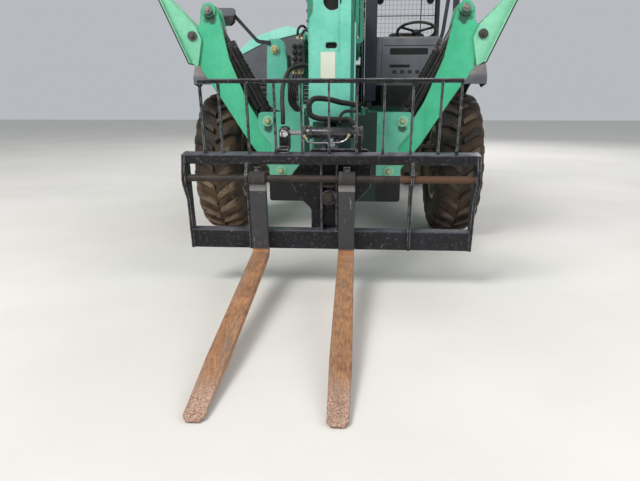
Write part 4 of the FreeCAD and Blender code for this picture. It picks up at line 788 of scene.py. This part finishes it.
for side_name, middle in (("left", 0.11), ("right", -0.44)):
    clip = bmesh.new()
    put_prism(clip, [(0.048, 0.5), (0.052, 0.5), (0.052, 0.552), (0.02, 0.552), (0.02, 0.547),
        (0.048, 0.547)], 0, middle - 0.02, middle + 0.02)
    put_bolt(clip, (middle, 0.02, 0.526), FORWARD, 0.01)
    add_mesh("fork_clip_" + side_name, clip, black_paint, "fork_" + side_name, CARRIAGE)


# ---- coupler and the side-tilt ram ----

RAM_Y, RAM_Z = 0.1963, 0.728
ram = bmesh.new()
put_lathe(ram, [(0.0165, 0), (0.04, 0), (0.042, 0.004), (0.042, 0.026), (0.038, 0.03),
    (0.0345, 0.03)], (-0.177, RAM_Y, RAM_Z), X, 40)
put_lathe(ram, [(0.0345, 0), (0.04, 0.003), (0.04, 0.02), (0.03, 0.026), (0, 0.026)],
    (0.182, RAM_Y, RAM_Z), X, 40)
for x in (-0.13, 0.15):
    put_disc(ram, 0.013, 0.018, (x, RAM_Y - 0.01, RAM_Z + 0.026), (0, -0.35, 1), 6)
add_mesh("side_ram_glands", ram, ram_black, "coupler", CARRIAGE, 30.0)
shell = bmesh.new()
put_lathe(shell, [(0.0344, -0.146), (0.035, -0.145), (0.035, 0.178), (0.0344, 0.179)],
    (0, RAM_Y, RAM_Z), X, 48)
for x in (-0.12, 0.158):
    put_lathe(shell, [(0.035, -0.01), (0.0385, -0.008), (0.0385, 0.008), (0.035, 0.01)],
        (x, RAM_Y, RAM_Z), X, 48)
add_mesh("side_ram_shell", shell, ram_grey, "coupler", CARRIAGE, 40.0)
hoses("side_ram_pipe", "coupler", [(0.0065, [(x, RAM_Y - y, RAM_Z - z) for x, y,
    z in ((0.12, 0.036, 0.006), (0.105, 0.046, 0.03), (0.06, 0.046, 0.05), (-0.06, 0.046, 0.054),
    (-0.13, 0.046, 0.048), (-0.16, 0.038, 0.012))])], CARRIAGE, chrome)
eye = bmesh.new()
for face in (-1, 1):
    put_disc(eye, 0.026, 0.006, (-0.285, RAM_Y + face * 0.04, RAM_Z), (0, face, 0), 32,
        (0.02, 0.009))
add_mesh("side_eye_pins", eye, chrome, "carriage", CARRIAGE)
bolts("coupler_pin_plates", "coupler", [((0.183 * side, 0.3955, 0.2995), (side, 0, 0), 0.014) for _,
    side in SIDES], bare_steel, CARRIAGE)

# Fixed hoses from the boom head to the coupler.
for name, radius, start, end, points in (("head_hose_loop", 0.0175, (0.11, -2.15, 1.2),
        (0.11, -2.315, 1.08), [(0.15, -2.07, 1.17), (0.146, -2.12, 1.176), (0.13, -2.175, 1.181),
        (0.067, -2.21, 1.188), (-0.017, -2.24, 1.208), (-0.1, -2.26, 1.212),
        (-0.132, -2.272, 1.183), (-0.136, -2.278, 1.15), (-0.125, -2.284, 1.112),
        (-0.077, -2.29, 1.091), (-0.003, -2.296, 1.086), (0.06, -2.302, 1.083),
        (0.12, -2.312, 1.082), (0.146, -2.33, 1.05)]), ("head_hose_inner", 0.0105,
        (0.11, -2.15, 1.13), (0.066, -2.315, 1.08), [(0.152, -2.075, 1.13), (0.148, -2.13, 1.134),
        (0.124, -2.2, 1.135), (0.09, -2.235, 1.132), (0.066, -2.265, 1.112), (0.058, -2.296, 1.086),
        (0.062, -2.33, 1.058)]), ("head_hose_side", 0.014, (-0.25, -2.0, 1.4), (-0.3, -2.31, 1.1),
        [(-0.15, -1.96, 1.42), (-0.2, -1.965, 1.43), (-0.285, -2.02, 1.4), (-0.318, -2.12, 1.3),
        (-0.312, -2.23, 1.2), (-0.3, -2.3, 1.12), (-0.296, -2.33, 1.06)])):
    tube = bmesh.new()
    put_tube(tube, points, radius, 12)
    hose = add_mesh(name, tube, hose_rubber, None, WORLD, 60.0)
    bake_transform(hose)


# ---- boom head ----

boxes("blank_plate_head", blank_plate, [((-0.074, HEAD_Y - 0.0015, 1.33),
    (0.02, HEAD_Y + 0.001, 1.504))], "boom_fly")
welds("head_welds", "boom_fly", [((x, y, low), (x, y, high)) for x, y, low,
    high in ((0.043, HEAD_Y, 1.505, 1.96), (0.1475, HEAD_Y + 0.002, 1.075, 1.68),
    (-0.1475, HEAD_Y + 0.002, 1.075, 1.68))], teal)
# Dark sheets inside the head's holes: painted shade.
backs = bmesh.new()
for x0, x1, z0, z1 in ((-0.062, 0.062, 1.745, 1.878), (-0.05, 0.04, 1.518, 1.57)):
    put_prism(backs, [(x0, z0), (x1, z0), (x1, z1), (x0, z1)], 1, HEAD_Y + 0.0215, HEAD_Y + 0.0235)
add_mesh("head_hole_shade", backs, painted_shade_black, "boom_fly")

for section, front, half_width, half_height in (("boom_base", -4.86, 0.203, 0.228),
        ("boom_mid", -4.98, 0.169, 0.194)):
    pads = []
    for face in (1, -1):
        for along in (front + 0.03, front + 0.085):
            for across in (-0.07, 0.0, 0.07):
                pads.append(((face * half_width, along, across), (face, 0, 0), 0.008))
                pads.append(((across * 0.8, along, face * half_height), (0, 0, face), 0.008))
    bolts("pad_bolts_" + section, section, pads, bare_steel, BOOM)


# ---- stabilizers ----

def put_pin_ends(plates, nuts, x, z, reach, plate, size, top=None):
    """A round plate (radius, thickness) and a bolt on both ends of a pin along Y."""
    for face in (1, -1):
        y = STAB_Y + face * reach
        put_disc(plates, *plate, (x, y, z), (0, face, 0), 32, top)
        put_bolt(nuts, (x, y + face * (top or plate)[1], z), (0, face, 0), size)


RAM_RUN, RAM_RISE = 0.422, 0.79
for side_name, side in SIDES:
    leg = "stab_leg_" + side_name
    barrel = "stab_%s_barrel" % side_name
    nuts = bmesh.new()
    washers = bmesh.new()
    for x, z in BRACKET_PINS:
        put_pin_ends(washers, nuts, x * side, z, 0.1, (0.042, 0.006), 0.016)
    add_mesh("bracket_washers_" + side_name, washers, foot_green)
    add_mesh("bracket_pin_bolts_" + side_name, nuts, zinc)
    caps = bmesh.new()
    put_pin_ends(caps, caps, 0.93 * side, 1.846, 0.089, (0.03, 0.01), 0.01, (0.025, 0.014))
    add_mesh("leg_pin_caps_" + side_name, caps, bare_steel, leg)
    knees = bmesh.new()
    put_pin_ends(knees, knees, KNEE_X * side, KNEE_Z, 0.096, (0.034, 0.008), 0.013)
    add_mesh("foot_pin_caps_" + side_name, knees, dull_rod, "stab_foot_" + side_name)
    welds("leg_welds_" + side_name, leg, [((low[0] * side, STAB_Y + y, low[1]),
        (high[0] * side, STAB_Y + y, high[1])) for y in (0.0605, -0.0605) for low,
        high in (((0.646, 0.91), (0.838, 1.21)), ((0.838, 1.21), (0.97, 1.406)))], leg_green)
    ram_axes = Matrix.Translation((BRACKET_PINS[1][0] * side, STAB_Y,
        BRACKET_PINS[1][1])) @ Matrix.Rotation(math.atan2(RAM_RUN, RAM_RISE) * side, 4, "Y")
    pipe = bmesh.new()
    put_tube(pipe, [(0.0, -0.05, 0.6), (0.0, -0.0575, 0.57), (0.0, -0.0575, 0.3),
        (0.0, -0.0575, 0.11), (0.0, -0.05, 0.085)], 0.0045)
    for z in (0.13, 0.35, 0.56):
        put_lathe(pipe, [(0.0525, -0.006), (0.0565, -0.006), (0.0565, 0.006), (0.0525, 0.006)],
            (0, 0, z), Z)
    add_mesh("stab_ram_pipe_" + side_name, pipe, ram_black, barrel, ram_axes, 40.0)
    sleeves = bmesh.new()
    for across, low, high in ((0.036, 0.075, 0.61), (-0.03, 0.11, 0.58)):
        ripples = [(0.0215 + 0.004 * (k % 2) + 0.005 * chance.random(), low + 0.017 * k)
            for k in range(int((high - low) / 0.017))]
        put_lathe(sleeves, [(0.0, low - 0.004)] + ripples + [(0.0, high + 0.004)],
            (across, -0.044, 0.0), Z, 12)
    add_mesh("stab_hose_sleeves_" + side_name, sleeves, hose_rubber, barrel, ram_axes, 50.0)


# ---- frame level tower, valve block, slab lamp and fixed hoses ----

bolts("tower_pin_bolts", "chassis", [((-0.567, y, 1.65), (0, face, 0), 0.022) for y,
    face in ((-0.762, -1), (-0.598, 1))], zinc)

coils = bmesh.new()
for z in (1.515, 1.57, 1.625, 1.68):
    for x in (-0.395, -0.345):
        put_lathe(coils, [(0, 0), (0.02, 0), (0.021, 0.004), (0.021, 0.036), (0.018, 0.04),
            (0.009, 0.04), (0.009, 0.05), (0, 0.052)], (x, -0.728, z), FORWARD, 20)
add_mesh("valve_coils", coils, black_plastic, smooth=35.0)
lines = []
for k in range(4):
    shift = 0.026 * k
    lines.append((0.009, [(-0.41 + shift, -0.7 + 0.02 * (k % 2), 1.482),
        (-0.41 + shift, -0.705, 1.42), (-0.44 + shift * 0.8, -0.79 - 0.01 * k, 1.3),
        (-0.43 + shift * 0.7, -0.8, 1.18), (-0.33 + shift * 0.5, -0.79, 1.09),
        (-0.252, -0.78 + 0.022 * k, 1.045)]))
lines.append((0.011, [(-0.332, -0.65, 1.738), (-0.33, -0.64, 1.8), (-0.3, -0.56, 1.83),
    (-0.262, -0.4, 1.76), (-0.256, -0.15, 1.56), (-0.258, 0.1, 1.3), (-0.252, 0.18, 1.12)]))
lines.append((0.011, [(-0.372, -0.65, 1.738), (-0.37, -0.64, 1.83), (-0.33, -0.54, 1.87),
    (-0.282, -0.38, 1.79), (-0.272, -0.12, 1.58), (-0.276, 0.11, 1.32), (-0.252, 0.23, 1.11)]))
hoses("valve_hoses", "chassis", lines)

glass = bmesh.new()
put_prism(glass, [(-1.054, 1.912), (-1.054, 1.884), (-1.028, 1.859), (-0.947, 1.859),
    (-0.921, 1.884), (-0.921, 1.912)], 1, -0.819, -0.8165)
add_mesh("plate_lamp_lens", glass, lamp_dark)

hoses("well_hoses", "chassis", [(0.0118, [(x, 2.82, 0.96), (x, 2.86, 1.2), (x, 2.88, 1.5),
    (x, 2.9, 1.7), (x, 2.985, 1.76)]) for x in (0.124 + 0.0245 * k for k in range(6))])
hoses("lamp_conduits", "chassis", [(0.0125, [(x, 1.72, 1.16), (x, 1.72, 1.7), (x, 1.72, 2.38),
    (x + 0.012, 1.722, 2.45), (0.268, 1.725, 2.5)]) for x in (0.214, 0.242)])
hoses("boom_side_hoses", "boom_base", [(0.012, [(0.186, -4.56, z), (0.199, -4.52, z),
    (0.199, -3.0, z), (0.199, -1.2, z), (0.199, -0.7, z), (0.186, -0.64, z)])
    for z in (-0.15, -0.122, -0.094, -0.066)], BOOM)
boxes("boom_hose_clamps", bare_steel, [((0.185, y - 0.02, -0.172), (0.214, y + 0.02, -0.044))
    for y in (-4.35, -3.5, -2.6, -1.7, -0.9)], "boom_base", BOOM, 0.003)


# ---- engine bay ----

panel = bmesh.new()
put_prism(panel, [(-1.136, 1.445), (-0.436, 1.445), (-0.436, 1.9), (-0.56, 1.89), (-0.823, 1.832),
    (-1.128, 1.684), (-1.136, 1.64)], 1, 0.3066, 0.3098)
add_mesh("bay_front_panel", panel, cowl)
blades = bmesh.new()
for k in range(10):
    z = 0.96 + 0.05 * k
    for x0, x1 in ((-1.085, -0.79), (-0.76, -0.48)):
        for near, inwards in ((0.3105, 1), (1.8795, -1)):
            put_prism(blades, [(near, z + 0.001), (near + inwards * 0.006, z + 0.001),
                (near + inwards * 0.02, z + 0.018), (near + inwards * 0.016, z + 0.02)], 0,
                x0 + 0.001, x1 - 0.001)
add_mesh("bay_louvre_blades", blades, chassis_black)
side_blades = bmesh.new()
for k in range(9):
    z = 1.06 + 0.05 * k
    for y0, y1 in ((1.04, 1.38), (1.44, 1.78)):
        put_prism(side_blades, [(-1.1495, z + 0.001), (-1.1435, z + 0.001), (-1.13, z + 0.018),
            (-1.134, z + 0.02)], 1, y0 + 0.001, y1 - 0.001)
add_mesh("bay_side_blades", side_blades, teal_dark)

latches = bmesh.new()
for y in (0.62, 1.56):
    put_tube(latches, [(-1.1555, y - 0.055, 1.69), (-1.157, y - 0.05, 1.69), (-1.157, y, 1.69),
        (-1.157, y + 0.05, 1.69), (-1.1555, y + 0.055, 1.69)], 0.001)
add_mesh("hood_latch_lines", latches, bare_steel, "hood")


# ---- cab ----

def make_cushion(name, low, high, at):
    """Crowned pad: a rounded block whose sides pull in between the corners, with sewn channels."""
    crown, power, channels = 0.012, 7.0, 4
    mesh = bmesh.new()
    size = Vector(high) - Vector(low)
    middle = (Vector(high) + Vector(low)) / 2
    bmesh.ops.create_cube(mesh, size=2.0)
    bmesh.ops.subdivide_edges(mesh, edges=mesh.edges, cuts=23, use_grid_fill=True)
    for vert in mesh.verts:
        x, y, z = vert.co
        scale = (abs(x) ** power + abs(y) ** power + abs(z) ** power) ** (-1 / power)
        x, y, z = x * scale, y * scale, z * scale
        pull = 1.0 - 0.03 * (1 - x * x) * (1 if abs(y) > 0.8 else 0)
        bulge = (1 - x * x) * (1 - y * y)
        groove = 0.0
        if z > 0.3:
            seams = (-1 + 2 * (k + 1) / (channels + 1) for k in range(channels))
            groove = sum(math.exp(-((y - seam) / 0.035) ** 2)
                for seam in seams) * 0.16 * (1 - abs(x) ** 6)
            groove += math.exp(-((abs(x) - 0.66) / 0.03) ** 2) * 0.14
        z += (crown * bulge - 0.01 * groove / 0.16) / (size.z / 2) if z > 0 else 0.0
        vert.co = (x * size.x / 2, y * pull * size.y / 2, z * size.z / 2)
    item = add_mesh(name, mesh, seat_vinyl, "chassis", at @ Matrix.Translation(middle), 180.0)


SEAT_X = 0.78
make_cushion("seat_cushion", (-0.24, -0.25, -0.005), (0.24, 0.25, 0.088),
    axes((SEAT_X, 1.3, 1.487), 2))
make_cushion("seat_backrest", (-0.235, -0.235, -0.005), (0.235, 0.235, 0.078),
    axes((SEAT_X, 1.64, 1.83), 80))
base = bmesh.new()
put_box(base, (SEAT_X - 0.15, 1.13, 1.163), (SEAT_X + 0.15, 1.48, 1.2))
put_box(base, (SEAT_X - 0.14, 1.14, 1.43), (SEAT_X + 0.14, 1.47, 1.482))
for k in range(7):
    z = 1.2 + 0.033 * k
    fold = 0.008 * (k % 2)
    put_box(base, (SEAT_X - 0.128 + fold, 1.152 + fold, z),
        (SEAT_X + 0.128 - fold, 1.458 - fold, z + 0.034))
put_prism(base, [(1.5, 1.47), (1.56, 1.47), (1.7, 2.04), (1.68, 2.06), (1.664, 2.04),
    (1.545, 1.56)], 0, SEAT_X - 0.03, SEAT_X + 0.03)
for _, side in SIDES:
    put_prism(base, [(1.3, 1.7), (1.56, 1.715), (1.56, 1.745), (1.3, 1.735), (1.285, 1.718)], 0,
        SEAT_X + side * 0.285 - 0.03, SEAT_X + side * 0.285 + 0.03)
    put_box(base, (SEAT_X + min(side * 0.262, side * 0.24), 1.54, 1.56),
        (SEAT_X + max(side * 0.262, side * 0.24), 1.575, 1.73))
add_mesh("seat_base", base, black_plastic, stands_for=("cab_seat",), soft=0.004)

wheel = bmesh.new()
put_tube(wheel, [(x, y, 0.0) for x, y in on_circle(0.205, 24)], 0.015, 14, True)
for k in range(3):
    angle = math.radians(90 + 120 * k)
    cos_a, sin_a = math.cos(angle), math.sin(angle)
    spoke = [(reach * cos_a - half * sin_a, reach * sin_a + half * cos_a) for reach,
        half in ((0.03, 0.022), (0.11, 0.014), (0.198, 0.02), (0.198, -0.02), (0.11, -0.014),
        (0.03, -0.022))]
    put_prism(wheel, spoke, 2, -0.007, 0.003)
put_lathe(wheel, [(0, -0.108), (0.02, -0.108), (0.02, -0.05), (0.046, -0.03), (0.05, -0.004),
    (0.04, 0.006), (0, 0.009)], ORIGIN, Z)
add_mesh("steering_wheel_rim", wheel, black_plastic, "chassis", axes((0.8, 0.56, 1.95), -20), 40.0,
    ("steering_wheel",))

boxes("cowl_lines", black_plastic, [((0.44, 0.2985, 1.778), (1.01, 0.3005, 1.786))]
    + [((x - 0.022, 0.2975, 1.5), (x + 0.022, 0.3005, 1.535))
    for x in (0.56, 0.64, 0.72, 0.8, 0.88)])

levers = bmesh.new()
put_lathe(levers, [(0.034, 0.0), (0.03, 0.01), (0.024, 0.02), (0.026, 0.03), (0.018, 0.045),
    (0.01, 0.06)], (1.09, 1.05, 1.745), (0, -0.15, 1), 24)
put_tube(levers, [(1.09, 1.045, 1.78), (1.09, 1.035, 1.85), (1.088, 1.03, 1.9)], 0.007)
put_lathe(levers, [(0.012, 0.0), (0.022, 0.015), (0.024, 0.045), (0.02, 0.075), (0.0, 0.09)],
    (1.088, 1.03, 1.885), (0, -0.1, 1), 20)
put_box(levers, (1.045, 0.95, 1.66), (1.135, 1.3, 1.745))
put_box(levers, (1.06, 0.99, 1.162), (1.12, 1.26, 1.662))
add_mesh("joystick_stand", levers, black_plastic, smooth=35.0, soft=0.006)

pedals = bmesh.new()
for x, z in ((0.62, 1.25), (0.78, 1.25), (0.93, 1.24)):
    put_prism(pedals, [(0.345, z), (0.352, z + 0.01), (0.44, z - 0.045), (0.436, z - 0.054)], 0,
        x - 0.035, x + 0.035)
    put_tube(pedals, [(x, 0.4, z - 0.03), (x, 0.37, z - 0.055), (x, 0.36, 1.164)], 0.007)
add_mesh("pedals", pedals, bare_steel, smooth=35.0)

guards = bmesh.new()
for x in (0.36 + 0.05 * k for k in range(16)):
    put_tube(guards, [(x, 1.735, 1.64), (x, 1.735, 2.51)], 0.0014, 6)
for z in (1.7 + 0.055 * k for k in range(15)):
    put_tube(guards, [(0.322, 1.73, z), (1.142, 1.73, z)], 0.0014, 6)
put_tube(guards, [(0.322, 1.735, 2.285), (1.142, 1.735, 2.285)], 0.006, 8)
put_tube(guards, [(0.966, 1.735, 1.64), (0.966, 1.735, 2.51)], 0.006, 8)
add_mesh("cab_guards", guards, cab_dark, smooth=40.0)

rails = bmesh.new()
for y in (0.32, 1.69):
    put_tube(rails, [(1.197, y, 1.3), (1.1985, y + 0.0005, 1.32), (1.1985, y, 1.9),
        (1.197, y, 1.92)], 0.0015, 8)
add_mesh("cab_rails", rails, bare_steel, smooth=40.0)

post = bmesh.new()
put_tube(post, [(1.01, 0.33, 1.8), (1.045, 0.316, 1.9), (1.068, 0.306, 2.08), (1.098, 0.306, 2.32),
    (1.118, 0.31, 2.505)], 0.019, 12)
add_mesh("door_post", post, cab_dark, smooth=50.0)
# Dark boxes inside the console's slots: painted shade.
boxes("console_slot_shade", painted_shade_black, [((0.5045, 0.304, 1.6905), (0.9035, 0.3395, 1.7545)),
    ((0.5045, 0.304, 1.5605), (0.7195, 0.3395, 1.5895))])
boxes("pillar_cover", cab_dark, [((0.24, 0.26, 1.215), (0.362, 0.2795, 2.49))], soft=0.004)
boxes("console_side_pocket", cowl, [((0.364, 0.302, 1.38), (0.421, 0.334, 1.868))], soft=0.004)
lamps = bmesh.new()
lenses = bmesh.new()
for x in (0.442, 1.08):
    for y, face in ((0.244, -1), (1.756, 1)):
        put_lathe(lamps, [(0.0462, -0.008), (0.0475, -0.002), (0.0475, 0.0005), (0.043, 0.002),
            (0.0405, -0.001)], (x, y, 2.472), (0, face, 0), 36)
        put_lathe(lenses, [(0.041, 0.0004), (0.02, 0.0012), (0.0, 0.0014)], (x, y, 2.472),
            (0, face, 0), 36)
add_mesh("work_lamp_rings", lamps, black_plastic, smooth=35.0)
add_mesh("work_lamp_lenses", lenses, lamp_clear, smooth=60.0)


# ---- rear ----

tails = {lamp_red: bmesh.new(), lamp_amber: bmesh.new(), lamp_clear: bmesh.new()}
frames = bmesh.new()
for _, side in SIDES:
    x = side * 0.4
    for look, z in ((lamp_amber, 1.255), (lamp_red, 1.195), (lamp_clear, 1.135)):
        put_box(tails[look], (x - 0.06, REAR - 0.02, z - 0.025),
            (x + 0.06, REAR - 0.006, z + 0.025))
    put_box(frames, (x - 0.0718, REAR - 0.0279, 1.1002), (x + 0.0718, REAR - 0.013, 1.2898))
for number, (look, mesh) in enumerate(tails.items()):
    add_mesh("tail_lens_%d" % number, mesh, look, soft=0.001)
add_mesh("tail_lamp_frames", frames, black_plastic)
boxes("blank_rear_plate", blank_plate, [((-0.17, REAR - 0.0025, 1.08), (0.17, REAR - 0.0005, 1.2))])


# ---- stage, light and camera ----

def stand(name, data):
    item = bpy.data.objects.new(name, data)
    bpy.context.scene.collection.objects.link(item)
    return item


def area(name, place, target, size, watts, color=(1, 1, 1)):
    data = bpy.data.lights.new(name, "AREA")
    data.energy = watts
    data.size = size
    data.color = color
    lamp = stand(name, data)
    lamp.location = place
    lamp.rotation_euler = (Vector(target) - Vector(place)).to_track_quat("-Z", "Y").to_euler()


floor_mesh = bmesh.new()
into(floor_mesh, [(-40, -40, 0), (40, -40, 0), (40, 40, 0), (-40, 40, 0)], [(0, 1, 2, 3)])
floor_data = bpy.data.meshes.new("floor")
floor_mesh.to_mesh(floor_data)
floor_mesh.free()
floor = stand("floor", floor_data)
ground = Finish("floor_finish")
tone = ground.mix(ground.ramp(ground.noise(0.6, 5.0), 0.3, 0.7), rgb(214, 211, 205),
    rgb(222, 219, 214))
floor_data.materials.append(ground.done(tone, 0.9))

area("key", (-5.5, -9.0, 9.5), (0.0, -0.5, 1.0), 5.0, 1250, (1.0, 0.98, 0.95))
area("fill", (8.0, -7.0, 5.0), (0.0, 0.0, 1.0), 7.0, 420)
area("back", (3.0, 10.0, 8.0), (0.0, 1.0, 1.0), 7.0, 600)
world = bpy.data.worlds.new("studio")
bpy.context.scene.world = world
world.use_nodes = True
background = world.node_tree.nodes["Background"]
background.inputs[0].default_value = (0.86, 0.9, 0.95, 1.0)
background.inputs[1].default_value = 0.55

# The photograph's focal length is 545 px of its 640 px width.
camera_data = bpy.data.cameras.new("camera")
camera_data.sensor_width = 36.0
camera_data.lens = 545.0 / 640.0 * 36.0
camera = stand("camera", camera_data)
camera.location = (0.1625, -5.8, 1.17)
camera.rotation_euler = (math.radians(90 - 13.92), 0, math.radians(3.73))
bpy.context.scene.camera = camera
bpy.context.scene.view_settings.view_transform = "Standard"
